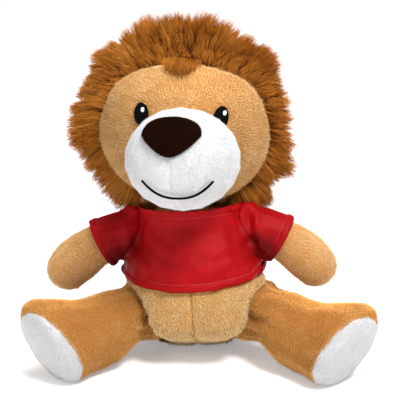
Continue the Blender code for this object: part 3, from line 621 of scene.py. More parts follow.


# Short polyester plush, cut and brushed: soft cloudy strokes, and painted shade where the pile parts, from
# the darker root colour
TAN_PLUSH = pile_material("short_polyester_plush_tan", "#CC9250", "#F0B870", "#FFE2AC")
# The legs and the face take darker copies of the tan plush, set to how dark they look under this light:
# partly painted shade
LEG_PLUSH = pile_material("short_polyester_plush_legs", "#B87C34", "#DC9C4C", "#F4C078")
FACE_PLUSH = pile_material("short_polyester_plush_face", "#B88446", "#D4A05C", "#F0CA92")
BELLY_PLUSH = pile_material("short_polyester_plush_belly", "#BE8C48", "#E8BC78", "#FFEABC", patch=0.007)
# White plush with a very short, dense pile, which looks like felt from a step away
WHITE_PLUSH = pile_material("short_polyester_plush_white", "#D4D4D6", "#EEEEF0", "#FFFFFF", sheen=0.1)
NOSE_PLUSH = pile_material("short_polyester_plush_brown", "#100401", "#240B04", "#3A180B", sheen=0.0)
# Long acrylic fur with dark roots and paler tips, the dark roots partly painted shade between the strands;
# slightly glossy along the strands
FUR = pile_material(
    "long_acrylic_fur", "#381401", "#804006", "#DA903C", patch=0.016, tone=0.55, sheen=0.0, coat=0.55
)


def knit_material(name, deep, bright, fold_shade):
    """Smooth polyester knit: fine loops, cloudy tones, and painted shade in the folds under the arms."""
    material, tree, shader = new_material(name, {"Roughness": 0.50, "Specular IOR Level": 0.08})
    # The real wales are 0.4 mm apart; drawn at 0.7 mm so that they show
    places = object_places(tree, 0.0007)
    loops = times(tree, ribs(tree, places, 0.3, 1.0), ribs(tree, places, 0.3, bands_direction="Z"))
    body = mixed(tree, limits(tree, cloud(tree, 0.012, 3.0), 0.15, 0.85), colour(deep), colour(bright))
    body = mixed(tree, times(tree, loops, 0.22), body, colour(deep))
    # Painted shade: the knit darkens towards the last colour where the mesh's shade share marks the folds
    # under the arms
    body = mixed(tree, times(tree, on_mesh(tree, "shade"), 0.8), body, colour(fold_shade))
    paint(tree, shader, body, loops, 0.25, 0.0002)
    return material


def thread_material(name, dark, light, gloss, angle, shine=0.5):
    """Sewn and embroidered thread: parallel strands with a gloss of their own."""
    material, tree, shader = new_material(name, {"Roughness": gloss, "Specular IOR Level": shine})
    # Threads lie 0.3 mm apart; drawn at 0.6 mm so that they show
    rib = ribs(tree, object_places(tree, 0.0006, angle), 0.6)
    paint(tree, shader, mixed(tree, rib, colour(dark), colour(light)), rib, 0.5, 0.0002)
    return material


# The last colour is the painted shade of the folds under the arms
RED_KNIT = knit_material("polyester_interlock_knit_red", "#7E0409", "#A8090F", "#3C0204")
BLACK_THREAD = thread_material("rayon_satin_stitch_black", "#020202", "#060607", 0.8, 0.5, shine=0.05)
WHITE_THREAD = thread_material("rayon_satin_stitch_white", "#E0E0E4", "#FFFFFF", 0.4, 0.5)
RED_THREAD = thread_material("polyester_sewing_thread_red", "#A41822", "#DC5860", 0.5, 0.0)
# Dark brown thread along the belly seam, laid end to end as a painted line of the seam's shade
SEAM_SHADE_THREAD = thread_material("belly_seam_thread_and_shade", "#4A2C0E", "#6E4418", 0.7, 0.0, shine=0.05)

PILE_TREE = pile_tree()
FUR_TREE = fur_tree()
STITCH_TREE = stitch_tree()


# Pieces

def show(name, mesh, body, nodes=()):
    """A mesh as a named piece that rides on a body and stands for some solids."""
    piece = object_of(name, mesh)
    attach(piece, body)
    if nodes:
        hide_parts(*nodes)
    return piece


def stitched(name, mesh, material, nodes=()):
    """An embroidered piece of the head."""
    mesh.materials.append(material)
    show(name, mesh, "head", nodes)


def comb(mesh, flow, lie, wobble=0.25, patch=0.006, seed=1):
    """Lay the pile of a skin: each strand leans from the normal along a flow."""
    places, normals = points_of(mesh), normals_of(mesh)
    flat = flow - normals * (flow * normals).sum(axis=1, keepdims=True)
    stir = ripple(places, patch, seed, noise.noise_vector) * wobble
    write(mesh, comb=unit(normals + unit(flat) * lie + stir))


def plush(name, mesh, body, nodes, material, count, length=PILE_LENGTH, width=PILE_WIDTH, stray=0.35):
    """A skin with its pile, as one piece that stands for some solids."""
    made = grown(
        mesh, PILE_TREE, Density=count, Length=length, Width=width, Stray=stray, Seed=7, Material=material
    )
    made.shade_smooth()
    show(name, made, body, nodes)


def fur(name, mesh, body, nodes=(), **sizes):
    """The long fur of a skin, as one piece."""
    made = grown(mesh, FUR_TREE, Width=FUR_WIDTH, Steps=4, Material=FUR, **sizes)
    made.shade_smooth()
    show(name, made, body, nodes)


def fur_backing(name, mesh, body):
    """The skin that long fur grows on, as one piece."""
    # With no strands of its own, the skin takes the fur's dark root colour, which is painted shade under the
    # fur
    mesh.materials.append(FUR)
    mesh.shade_smooth()
    show(name, mesh, body)


def sink(mesh, distance):
    """Draw a skin in, to leave room for its pile."""
    move_points(mesh, points_of(mesh) - normals_of(mesh) * np.asarray(distance).reshape(-1, 1))


def groove(across, width, depth):
    """How deep a seam draws a skin in at a distance from its line."""
    return depth * np.exp(-(across / width) ** 2)


def above_floor(mesh):
    """No pile under what the toy rests on."""
    return clamp(points_of(mesh)[:, 2] / 0.003 - 0.6)


def arm_line(side, share):
    """Middle and direction of an arm at a share of its length, in the shoulder's frame."""
    steps = 70
    place = np.zeros(3)
    for step in range(round(steps * share) + 1):
        part = step / steps
        drop = ARM_DROP[0] + (ARM_DROP[1] - ARM_DROP[0]) * part
        sweep = ARM_SWEEP * part
        way = np.array((
            side * math.cos(drop) * math.cos(sweep), -math.sin(sweep), -math.sin(drop) * math.cos(sweep)
        ))
        if step:
            place = place + way * ARM_LENGTH / steps
    return place, way


def shoulder_frame(side):
    """The frame that an arm turns in."""
    return placed((side * SHOULDER[0], SHOULDER[1], SHOULDER[2]), (0.0, BODY_LEAN, 0.0), SEAT)


def make_camera():
    """The photograph's view."""
    level, rise = CAMERA_AZIMUTH, CAMERA_ELEVATION
    back = Vector((math.sin(level) * math.cos(rise), -math.cos(level) * math.cos(rise), math.sin(rise)))
    data = bpy.data.cameras.new("camera")
    data.sensor_width = 36
    data.lens = data.sensor_width * CAMERA_DISTANCE / PICTURE_WIDTH
    data.clip_end = 10
    camera = object_of("camera", data)
    camera.location = Vector(CAMERA_TARGET) + back * CAMERA_DISTANCE
    camera.rotation_euler = (-back).to_track_quat("-Z", "Y").to_euler()
    bpy.context.scene.camera = camera


# Lamps: name, place, size and power in watts; all of them point at the toy's middle
LAMPS = (
    ("key", (0.50, -0.70, 1.25), 0.5, 25.0),
    ("fill", (-0.80, -0.80, 0.55), 0.8, 4.0),
    ("top", (0.1, 0.2, 1.2), 0.7, 12.0),
)
LAMP_AIM = Vector((0, 0, 0.1))
SURROUND_LIGHT = 0.38
FLOOR_HALF = 6.0
FLOOR_GLOW = 0.28


def make_light():
    """A white floor, an even white surround and three soft lamps."""
    world = bpy.data.worlds.new("studio")
    bpy.context.scene.world = world
    world.use_nodes = True
    tree = world.node_tree
    path = socket(tree, "ShaderNodeLightPath")
    strength = socket(tree, "ShaderNodeMapRange", {"Value": path, "To Min": SURROUND_LIGHT, "To Max": 1.0})
    surround = tree.nodes["Background"]
    surround.inputs["Color"].default_value = (1, 1, 1, 1)
    tree.links.new(strength, surround.inputs["Strength"])

    for name, place, size, power in LAMPS:
        data = bpy.data.lights.new(name, "AREA")
        data.shape = "DISK"
        data.size = size
        data.energy = power
        lamp = object_of(name, data)
        lamp.location = place
        lamp.rotation_euler = (LAMP_AIM - Vector(place)).to_track_quat("-Z", "Y").to_euler()

    mesh = bpy.data.meshes.new("floor")
    corners = [(x * FLOOR_HALF, y * FLOOR_HALF, 0) for x, y in ((-1, -1), (1, -1), (1, 1), (-1, 1))]
    mesh.from_pydata(corners, [], [(0, 1, 2, 3)])
    floor = object_of("floor", mesh)
    # Matt white card: it shows a soft shadow and is white beyond it
    material, tree, shader = new_material("matt_white_card", {"Roughness": 0.9, "Specular IOR Level": 0.0})
    tint = mixed(tree, cloud(tree, 0.02, 2.0), colour("#F4F4F4"), colour("#F8F8F8"))
    tree.links.new(tint, shader.inputs["Base Color"])
    path = socket(tree, "ShaderNodeLightPath")
    glow = socket(
        tree, "ShaderNodeEmission", {"Color": (1, 1, 1, 1), "Strength": times(tree, path, FLOOR_GLOW)}
    )
    total = socket(tree, "ShaderNodeAddShader", {0: shader.outputs[0], 1: glow})
    tree.links.new(total, tree.nodes["Material Output"].inputs["Surface"])
    mesh.materials.append(material)
    bpy.context.scene.view_settings.view_transform = "Standard"


def make_body():
    """The pear-shaped body, bare below the hem, with its belly seam."""
    nodes = ["body_front_left", "body_front_right", "body_back", "body_filling", "pellet_pouch"]
    mesh = skin_of(nodes, 0.0014, 6)
    x, y, z = inside(points_of(mesh), SEAT).T
    front = y < 0
    aside = np.abs(x)
    seam = np.where(front, groove(x, 0.0017, 0.0012), 0) * clamp((z - 0.010) / 0.014)
    under_shirt = clamp((z - HEM_HEIGHT) / 0.004)
    swell = np.where(front, BELLY_SWELL, 0) * np.exp(-((z - BELLY_MIDDLE) / BELLY_BAND) ** 2)
    swell = swell * clamp(-y / 0.012) * clamp(z / 0.008)
    swell = swell * (0.65 + 0.5 * clamp(aside / 0.03) + 0.2 * clamp(x / 0.03))
    sink(mesh, PILE_SINK + seam + under_shirt * 0.0014 - swell)
    # The lower front curves up from the floor, a little more at its sides
    places = points_of(mesh)
    ahead = clamp(-y / 0.030) * clamp(1 - z / 0.030)
    places[:, 2] += BELLY_LIFT * (1 + 0.4 * clamp(aside / 0.028) ** 2) * ahead
    move_points(mesh, places)
    smooth(mesh, 6)
    bare = clamp((HEM_HEIGHT + 0.0015 - z) / 0.002)
    # The pile parts along the seam, where the skin's root colour shows as painted shade
    parted = np.where(front, 1 - groove(x, 0.0010, 0.97), 1)
    write(
        mesh, cover=bare * above_floor(mesh) * parted,
        pile=np.clip((HEM_HEIGHT + 0.003 - z) / 0.008, 0.45, 1),
    )
    flow = np.array((0.0, -0.2, -1.0)) + np.outer(np.sign(x), (0.35, 0.0, 0.0))
    comb(mesh, flow, 1.3, seed=2, patch=0.005, wobble=0.5)
    # The belly seam's line of dark stitches is painted shade of the seam
    line = cut_line(mesh, outside((0.0, 0.0, 0.0), SEAT), turned((1.0, 0.0, 0.0), SEAT))
    keep_points(line, lambda place: place[1] < 0 and 0.003 < place[2] < HEM_HEIGHT)
    plush("body_plush", mesh, "torso", nodes, BELLY_PLUSH, 2.0e6)
    show("belly_seam", grown(line, STITCH_TREE, Material=SEAM_SHADE_THREAD, **SEAM_STITCH), "torso")


def make_arm(side, label):
    """An arm, bare beyond the sleeve."""
    nodes = ["arm_front_" + label, "arm_back_" + label, "arm_filling_" + label]
    mesh = skin_of(nodes, 0.0012, 6)
    shoulder = shoulder_frame(side)
    place, way = arm_line(side, SLEEVE_SHARE)
    beyond = (inside(points_of(mesh), shoulder) - place) @ way
    sink(mesh, PILE_SINK * 0.9 + clamp((0.001 - beyond) / 0.006) * 0.0016)
    write(mesh, cover=clamp((beyond + 0.003) / 0.003), pile=np.clip((beyond + 0.006) / 0.010, 0.4, 1) * 0.9)
    comb(mesh, turned(way, shoulder), 1.4, seed=3 + side)
    plush("arm_" + label + "_plush", mesh, "arm_" + label, nodes, TAN_PLUSH, 2.6e6)


def make_leg(side, label):
    """A leg, and its white sole set into the end."""
    nodes = ["leg_inner_" + label, "leg_outer_" + label, "leg_filling_" + label, "sole_" + label]
    hip = placed((side * HIP[0], HIP[1], HIP[2]), parent=TOY)
    reach = np.array((side * (SOLE[0] - HIP[0]), SOLE[1] - HIP[1], 0.0))
    ahead = unit(reach)
    outward = np.array((-ahead[1] * side, ahead[0] * side, 0.0))
    up = np.array((0.0, 0.0, 1.0))
    way = ahead * math.cos(SOLE_DROP) - up * math.sin(SOLE_DROP)
    rise = ahead * math.sin(SOLE_DROP) + up * math.cos(SOLE_DROP)
    toe = rise * math.cos(SOLE_TURN) + outward * math.sin(SOLE_TURN)
    across = np.cross(way, toe)
    half = math.hypot(toe[2] * SOLE_LENGTH / 2, across[2] * SOLE_WIDTH / 2)
    place = outside(reach + up * (half - FLOOR_FLAT - HIP[2]), hip)
    leg = skin_of(nodes, 0.0014, 18)
    along = inside(points_of(leg), hip) @ ahead
    # The root draws in beside the belly, but keeps its top
    beside = clamp(1.15 - 1.5 * normals_of(leg)[:, 2])
    sink(leg, PILE_SINK + LEG_ROOT_SINK * beside * clamp((0.032 - along) / 0.020))
    places = points_of(leg)
    low = clamp(1 - places[:, 2] / 0.022)
    places[:, 2] += LEG_ROOT_LIFT * low * clamp((0.042 - along) / 0.030)
    move_points(leg, places)
    smooth(leg, 8)
    sole = leg.copy()
    # The seam of the sole lies further back on its inner side
    inner = np.array((-side * 0.65, -0.76, 0.0))
    face = unit(way + inner * SOLE_INWARD)
    rim = place - inner * 0.019 + face * 0.0004
    cut_by(leg, rim, face, fill=True)
    cut_by(sole, rim, -face, fill=True)
    from_middle = points_of(leg) - place
    from_axis = from_middle - np.outer(from_middle @ way, way)
    beyond = (points_of(leg) - rim) @ face + 0.0004
    write(leg, cover=above_floor(leg) * (beyond <= 0.0003), pile=1.0)
    # At the rim the pile folds over the edge of the sole
    flow = turned(ahead, hip) * 0.9 + np.array((0, 0, -0.45)) + unit(from_axis) * 0.2
    comb(leg, flow, 1.35, seed=6 + side)
    plush("leg_" + label + "_plush", leg, "leg_" + label, nodes[:3], LEG_PLUSH, 2.7e6)
    forward = (points_of(sole) - rim) @ face + 0.0004
    seen = forward > 0.0006
    move_points(sole, points_of(sole) + np.outer(np.where(seen, 0.0008, -0.0010), face))
    write(sole, cover=seen * above_floor(sole), pile=1.0)
    comb(sole, (0.0, 0.0, -1.0), 0.9, wobble=0.35, patch=0.004, seed=9 + side)
    plush(
        "sole_" + label + "_plush", sole, "leg_" + label, ["sole_" + label], WHITE_PLUSH, 6e6,
        length=SHORT_PILE_LENGTH, width=SHORT_PILE_WIDTH,
    )


def face_depth(x, z):
    """How far forward the face lies, seen from the front."""
    spread = np.hypot(x / (HEAD_WIDTH / 2), z / (HEAD_HEIGHT / 2))
    return -HEAD_FRONT * np.sqrt(1 - np.minimum(spread, 1) ** 2)


def muzzle_depth(x, z):
    """How far forward the muzzle lies, seen along its axis."""
    spread = np.hypot(x / (MUZZLE_WIDTH / 2), z / (MUZZLE_HEIGHT / 2))
    return -MUZZLE_REACH * (1 - np.minimum(spread, 1) ** MUZZLE_POWER) ** (1 / MUZZLE_POWER)


def lifted(flat, depth_at, lift):
    """Places on a curved front, given as (x, z) seen from before it, moved off it."""
    step = 0.001
    x, z = flat[..., 0], flat[..., 1]
    run_x = (depth_at(x + step, z) - depth_at(x - step, z)) / (2 * step)
    run_z = (depth_at(x, z + step) - depth_at(x, z - step)) / (2 * step)
    normals = unit(np.stack((run_x, -np.ones_like(x), run_z), axis=-1))
    return np.stack((x, depth_at(x, z), z), axis=-1) + normals * lift


def grid_mesh(name, grid, rows_close, weld, matrix):
    """A closed mesh from rows of places: each row is a ring, or the rows go round a tube."""
    high, wide = grid.shape[:2]
    rows, columns = (high - 1, wide) if rows_close else (high, wide - 1)
    corners = ((0, 0), (0, 1), (1, 1), (1, 0))
    faces = [
        [(r + down) % high * wide + (c + along) % wide for down, along in corners]
        for r in range(rows) for c in range(columns)
    ]
    mesh = bpy.data.meshes.new(name)
    mesh.from_pydata([tuple(point) for point in outside(grid, matrix).reshape(-1, 3)], [], faces)
    with edited(mesh) as shape:
        bmesh.ops.remove_doubles(shape, verts=shape.verts, dist=weld)
        if not rows_close:
            bmesh.ops.holes_fill(shape, edges=shape.edges)
        bmesh.ops.recalc_face_normals(shape, faces=shape.faces)
    mesh.shade_smooth()
    return mesh


# Heights of patches over the front that they lie on: their underside, the top of their rim, how much
# higher their middle is, and how much of the rim is rounded off
EYE_FORM = (-0.0020, 0.0012, 0.0006, 0.0007)
GLINT_FORM = (0.0008, 0.0019, 0.0002, 0.0004)
NOSE_FORM = (-0.0020, 0.0020, 0.0020, 0.0022)
FORELOCK_FORM = (-0.0015, 0.0006, 0.0004, 0.0004)


def patch_mesh(outline, middle, depth_at, matrix, form):
    """A closed patch on a curved front: rounded at its edge and thicker in its middle."""
    base, top, crown, edge = form
    under, over = np.linspace(0, 1, 8), np.linspace(0, 1, 12)[1:]
    rows = []
    for share, turn in [*((share, 0) for share in under), *((1 - turn ** 2, turn) for turn in over)]:
        flat = middle + (outline - middle) * share
        height = top - edge * (1 - turn) ** 2 + crown * math.sqrt(max(1 - share, 0)) if turn else base
        rows.append(lifted(flat, depth_at, height))
    return grid_mesh("patch", np.array(rows), True, 0.000003, matrix)


def oval(middle, wide, high):
    """An upright oval outline."""
    angle = np.linspace(0, 2 * math.pi, 48, endpoint=False)
    return np.array(middle) + np.stack((np.cos(angle) * wide / 2, np.sin(angle) * high / 2), axis=-1)


def outward_from(local, height=0.0):
    """Vectors straight away from the line of sight at a height, for some places seen from the front."""
    return np.stack((local[:, 0], np.zeros(len(local)), local[:, 2] - height), axis=-1)


# Label, middle and middle of the glint of each eye, seen from the front; then sizes across and up
EYES = (
    ("left", (-0.0236, 0.0180), (-0.0222, 0.0204)),
    ("right", (0.0254, 0.0180), (0.0270, 0.0204)),
)
EYE_SIZE = (0.0088, 0.0130)
GLINT_SIZE = (0.0021, 0.0027)
NOSE_MIDDLE = (0.0, 0.0139)
NOSE_WIDTH = 0.0355
NOSE_HEIGHT = 0.0235


def nose_outline():
    """A flat top, round corners and sides that run in to a point."""
    angle = np.linspace(0, 2 * math.pi, 72, endpoint=False)
    rise = np.sin(angle)
    pinch = np.where(rise < 0, 1 + 0.42 * rise, 1.0)
    above = clamp(rise) ** 0.8 * NOSE_HEIGHT * 0.46
    below = clamp(-rise) * NOSE_HEIGHT * 0.54
    x = np.cos(angle) * pinch * NOSE_WIDTH / 2
    return np.array(NOSE_MIDDLE) + np.stack((x, above - below), axis=-1)


def make_face():
    """The tan face with its embroidered eyes."""
    nodes = ["face_panel", "head_filling", "chin_panel"]
    mesh = skin_of(nodes, 0.0016, 8)
    sink(mesh, 0.0012)
    local = inside(points_of(mesh), HEAD)
    # The face is squarer at its upper corners than an oval
    angle = np.degrees(np.arctan2(local[:, 2], local[:, 0]))
    corner = np.exp(-((angle - 137) / 20) ** 2) + np.exp(-((angle - 43) / 20) ** 2)
    rim = clamp(np.hypot(local[:, 0], local[:, 2]) / 0.050) ** 6
    local = local + unit(outward_from(local)) * (FACE_CORNER * corner * rim)[:, None]
    move_points(mesh, outside(local, HEAD))
    x, y, z = local.T
    turn = np.arctan2(np.hypot(x / HEAD_WIDTH, z / HEAD_HEIGHT) * 2, -y / HEAD_FRONT)
    cover = clamp((FACE_EDGE_ANGLE + 0.25 - turn) / 0.15)
    cover = np.where(z < -0.030, 1.0, cover)
    for _, middle, _ in EYES:
        away = np.hypot((x - middle[0]) / 0.0046, (z - middle[1]) / 0.0064)
        cover = np.where((away < 1) & (y < 0), 0.0, cover)
    write(mesh, cover=cover, pile=np.clip(1.15 - z / 0.2, 0.8, 1.2) * 0.8)
    comb(mesh, turned(outward_from(local, 0.004), HEAD), 1.3, wobble=0.35, patch=0.006, seed=12)
    plush("face_plush", mesh, "head", nodes, FACE_PLUSH, 2.4e6)
    for label, middle, glint in EYES:
        eye = patch_mesh(oval(middle, *EYE_SIZE), middle, face_depth, HEAD, EYE_FORM)
        stitched("eye_" + label + "_satin", eye, BLACK_THREAD, ["eye_" + label])
        spark = patch_mesh(oval(glint, *GLINT_SIZE), glint, face_depth, HEAD, GLINT_FORM)
        stitched("eye_" + label + "_glint", spark, WHITE_THREAD)


# The mouth's line, seen along the muzzle: its middle, half its width, its lowest point, its ends' rise
MOUTH_MIDDLE = 0.0035
MOUTH_HALF = 0.0210
MOUTH_LOW = -0.0228
MOUTH_RISE = 0.0105


def mouth_height(share):
    """Height of the mouth's line at a share of half its width."""
    return MOUTH_LOW + MOUTH_RISE * np.abs(share) ** 2.4


def mouth_mesh():
    """One smiling line of satin stitch, thinner at its left end."""
    share = np.linspace(-1, 1, 96)
    x, z = MOUTH_MIDDLE + share * MOUTH_HALF, mouth_height(share)
    slope = np.gradient(z) / np.gradient(x)
    half = (0.00031 + 0.00013 * share) * np.sqrt(np.maximum(1 - share ** 12, 0)) / np.hypot(1, slope)
    line = np.stack((x, z), axis=-1)
    aside = np.stack((-slope * half, half), axis=-1)
    rows = [
        lifted(line + aside * math.cos(turn), muzzle_depth, 0.0004 + 0.0009 * math.sin(turn))
        for turn in np.linspace(0, 2 * math.pi, 10, endpoint=False)
    ]
    return grid_mesh("mouth", np.array(rows), False, 0.00006, MUZZLE)


def make_muzzle():
    """White cheeks with their seam, the brown nose and the stitched mouth."""
    nodes = ["muzzle_left", "muzzle_right", "muzzle_filling"]
    mesh = skin_of(nodes, 0.0012, 8)
    local = inside(points_of(mesh), MUZZLE)
    x, y, z = local.T
    front = y < -0.006
    low = clamp((0.004 - z) / 0.004)
    sink(mesh, 0.0010 + np.where(front, groove(x, 0.0016, 0.0011) * low, 0))
    # The pile parts along the seam, where the skin's root colour shows as painted shade
    parted = np.where(front, 1 - groove(x, 0.0006, 0.95) * low, 1.0)
    line = mouth_height(np.minimum(np.abs((x - MOUTH_MIDDLE) / MOUTH_HALF), 1))
    on_mouth = (np.abs(z - line) < 0.0009) & (np.abs(x - MOUTH_MIDDLE) < MOUTH_HALF + 0.0005) & front
    write(mesh, cover=np.where(on_mouth, 0.0, parted * clamp((0.018 - y) / 0.004)), pile=1.0)
    comb(mesh, turned(outward_from(local, 0.010), MUZZLE), 1.1, wobble=0.3, patch=0.005, seed=15)
    plush(
        "muzzle_plush", mesh, "head", nodes, WHITE_PLUSH, 3.3e6,
        length=SHORT_PILE_LENGTH, width=SHORT_PILE_WIDTH, stray=0.3,
    )
    nose = patch_mesh(nose_outline(), np.array(NOSE_MIDDLE), muzzle_depth, MUZZLE, NOSE_FORM)
    x, y, z = inside(points_of(nose), MUZZLE).T
    write(nose, cover=muzzle_depth(x, z) - y > 0.0005, pile=1.0)
    comb(nose, (0.0, 0.0, -1.0), 1.0, wobble=0.3, patch=0.004, seed=17)
    plush(
        "nose_plush", nose, "head", ["nose"], NOSE_PLUSH, 9e6,
        length=0.0013, width=0.0003, stray=0.3,
    )
    stitched("mouth_satin", mouth_mesh(), BLACK_THREAD, ["mouth_stitching"])


def nearest_node(places, nodes):
    """Which of some solids lies nearest to each place."""
    gaps = []
    for name in nodes:
        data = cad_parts[name].data
        corners = [vert.co for vert in data.vertices]
        tree = BVHTree.FromPolygons(corners, [tuple(face.vertices) for face in data.polygons])
        gaps.append([tree.find_nearest(Vector(place))[3] for place in places])
    return np.argmin(np.array(gaps), axis=0)


# How far to its sides the chin has the mane's fur
CHIN_FUR = 0.0160
# Tufts and notches round the mane: angle from the right, half width, and how much longer the fur is there
MANE_TUFTS = (
    (150, 14, -0.22), (128, 12, -0.06), (36, 14, -0.20), (94, 5, -0.20), (65, 5, -0.18),
    (-120, 17, 0.62), (-56, 17, 0.58),
)


def make_mane():
    """Long fur round the face and over the back of the head."""
    panels = ["mane_right", "mane_crown", "mane_left", "mane_back"]
    mesh = skin_of([*panels, "head_filling", "chin_panel"], 0.0022, 8)
    home = nearest_node(points_of(mesh), [*panels, "face_panel", "chin_panel"])
    x, y, z = inside(points_of(mesh), HEAD).T
    # The mane's fur also hangs from the sides of the chin
    chin = home == len(panels) + 1
    for index, side in ((0, 1), (2, -1)):
        home = np.where(chin & (side * x > CHIN_FUR), index, home)
    sink(mesh, FUR_SINK * np.clip((np.hypot(x, z) - 0.030) / 0.03, 0.5, 1))
    smooth(mesh, 4)
    places = points_of(mesh)
    local = inside(places, HEAD)
    x, y, z = local.T
    normals = normals_of(mesh) @ np.array(HEAD.to_3x3())
    back = clamp((y - 0.004) / 0.03)[:, None]
    low = clamp(-z / 0.04)[:, None]
    down = np.array((0.0, 0.0, -1.0))
    way = unit(outward_from(local)) * (1.0 - 0.45 * back) + normals * 0.35 + np.array((0.0, 0.12, 0.0))
    way = turned(way + down * (0.75 * back + 0.35 * low), HEAD)
    way = unit(way + ripple(places, 0.016, 21, noise.noise_vector) * 0.32)
    bend = turned(down * 0.0030 * (1 + back) + np.array((0.0, 0.0012, 0.0)), HEAD)
    bend = bend + ripple(places, 0.013, 23, noise.noise_vector) * 0.0036
    tall = 0.88 + 0.26 * ripple(places, 0.008, 25)
    angle = np.degrees(np.arctan2(z, x))
    for middle, half, gain in MANE_TUFTS:
        off = (angle - middle + 180) % 360 - 180
        tall += groove(off, half, gain) * clamp((0.03 - y) / 0.02)
    hairline = np.clip((np.hypot(x, z) - 0.050) / 0.012, 0.8, 1)
    pile = tall * np.where(y < 0, hairline, 1.0)
    dense = np.where(y < 0.012, 1.9, 0.6)
    for index, name in enumerate(panels):
        part = mesh.copy()
        write(part, cover=np.where(home == index, dense, 0.0), comb=way, sweep=bend, pile=pile)
        fur(
            name + "_fur", part, "head", [name], Density=1.0e6, Length=FUR_LENGTH, Stray=0.13,
            Seed=30 + index, Locks=3.2e4, Draw=0.72,
        )
    fur_backing("mane_backing", mesh, "head")


def make_forelock():
    """A lock of the mane that hangs over the top of the face."""
    middle = np.array(FORELOCK)
    outline = oval(middle, FORELOCK_WIDTH, FORELOCK_HEIGHT)
    base = patch_mesh(outline, middle, face_depth, HEAD, FORELOCK_FORM)
    aside = (inside(points_of(base), HEAD)[:, 0] - middle[0]) / (FORELOCK_WIDTH / 2)
    level = np.ones(len(aside))
    write(
        base, cover=1.0,
        comb=unit(turned(np.stack((0.10 * aside, -0.90 * level, 0.10 * level), axis=-1), HEAD)),
        sweep=turned((0.0, 0.0020, -0.0072), HEAD), pile=1.0 - 0.40 * clamp(np.abs(aside)) ** 1.5,
    )
    fur(
        "forelock_fur", base, "head", Density=6.0e6, Length=FORELOCK_LENGTH, Stray=0.16, Seed=51,
        Locks=1.0e5, Draw=0.6,
    )


# Creases of the shirt seen from the front: from and to as (x, z), half width and depth
CREASES = (
    ((-0.0400, 0.0790), (-0.0080, 0.0640), 0.0036, 0.0024),
    ((-0.0410, 0.0740), (-0.0180, 0.0600), 0.0030, 0.0020),
    ((-0.0380, 0.0860), (-0.0100, 0.0760), 0.0050, 0.0009),
    ((0.0300, 0.0930), (0.0330, 0.0780), 0.0024, 0.0030),
    ((0.0330, 0.0780), (0.0120, 0.0700), 0.0032, 0.0018),
    ((0.0350, 0.0700), (0.0100, 0.0610), 0.0032, 0.0016),
)


def crease_depth(places):
    """How deep the creases draw the shirt in at some places of its front."""
    x, z = places[:, 0], places[:, 2]
    total = np.zeros(len(places))
    for start, end, half, depth in CREASES:
        run = np.array(end) - start
        share = clamp(((x - start[0]) * run[0] + (z - start[1]) * run[1]) / (run @ run))
        away = np.hypot(x - start[0] - share * run[0], z - start[1] - share * run[1])
        # A crease stands between two low swells, and fades towards its end
        form = groove(away, half, 1) - 0.55 * groove(away - 2 * half, half, 1)
        total += depth * (1 - 0.75 * share) * form
    return np.where(places[:, 1] < 0.004, total, 0)


def stand_collar(places):
    """Raise the neck of the shirt into an upright band."""
    seat = inside(places, SEAT)
    across = np.hypot(seat[:, 0] / COLLAR_HALF[0], seat[:, 1] / COLLAR_HALF[1])
    share = clamp((seat[:, 2] - COLLAR_START + 0.004) / 0.006)
    share = share * share * (3 - 2 * share)
    seat[:, :2] *= (1 + share * (np.maximum(1 / np.maximum(across, 0.05), 1) - 1))[:, None]
    near = clamp((1.30 - across) / 0.2)
    seat[:, 2] += np.maximum(seat[:, 2] - COLLAR_START, 0) * COLLAR_STRETCH * near
    return outside(seat, SEAT)


# A point and the outward direction of the cut between the shirt's body and each sleeve
ARMHOLES = {
    -1: ((-0.0410, -0.0150, 0.0800), (-0.8725, 0.0, 0.4886)),
    1: ((0.0290, -0.0150, 0.0840), (0.811, 0.0, 0.585)),
}


def knitted(name, mesh):
    """Cloth of the shirt with a real thickness, as an object."""
    mesh.materials.clear()
    mesh.materials.append(RED_KNIT)
    mesh.shade_smooth()
    piece = object_of(name, mesh)
    wall = piece.modifiers.new("wall", "SOLIDIFY")
    wall.thickness = KNIT_THICKNESS
    wall.offset = -1.0
    made = evaluated_mesh(piece)
    made.shade_smooth()
    return object_of(name, made)


def lay(nodes):
    """Hide the solids that a cloth stands for."""
    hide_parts(*nodes)


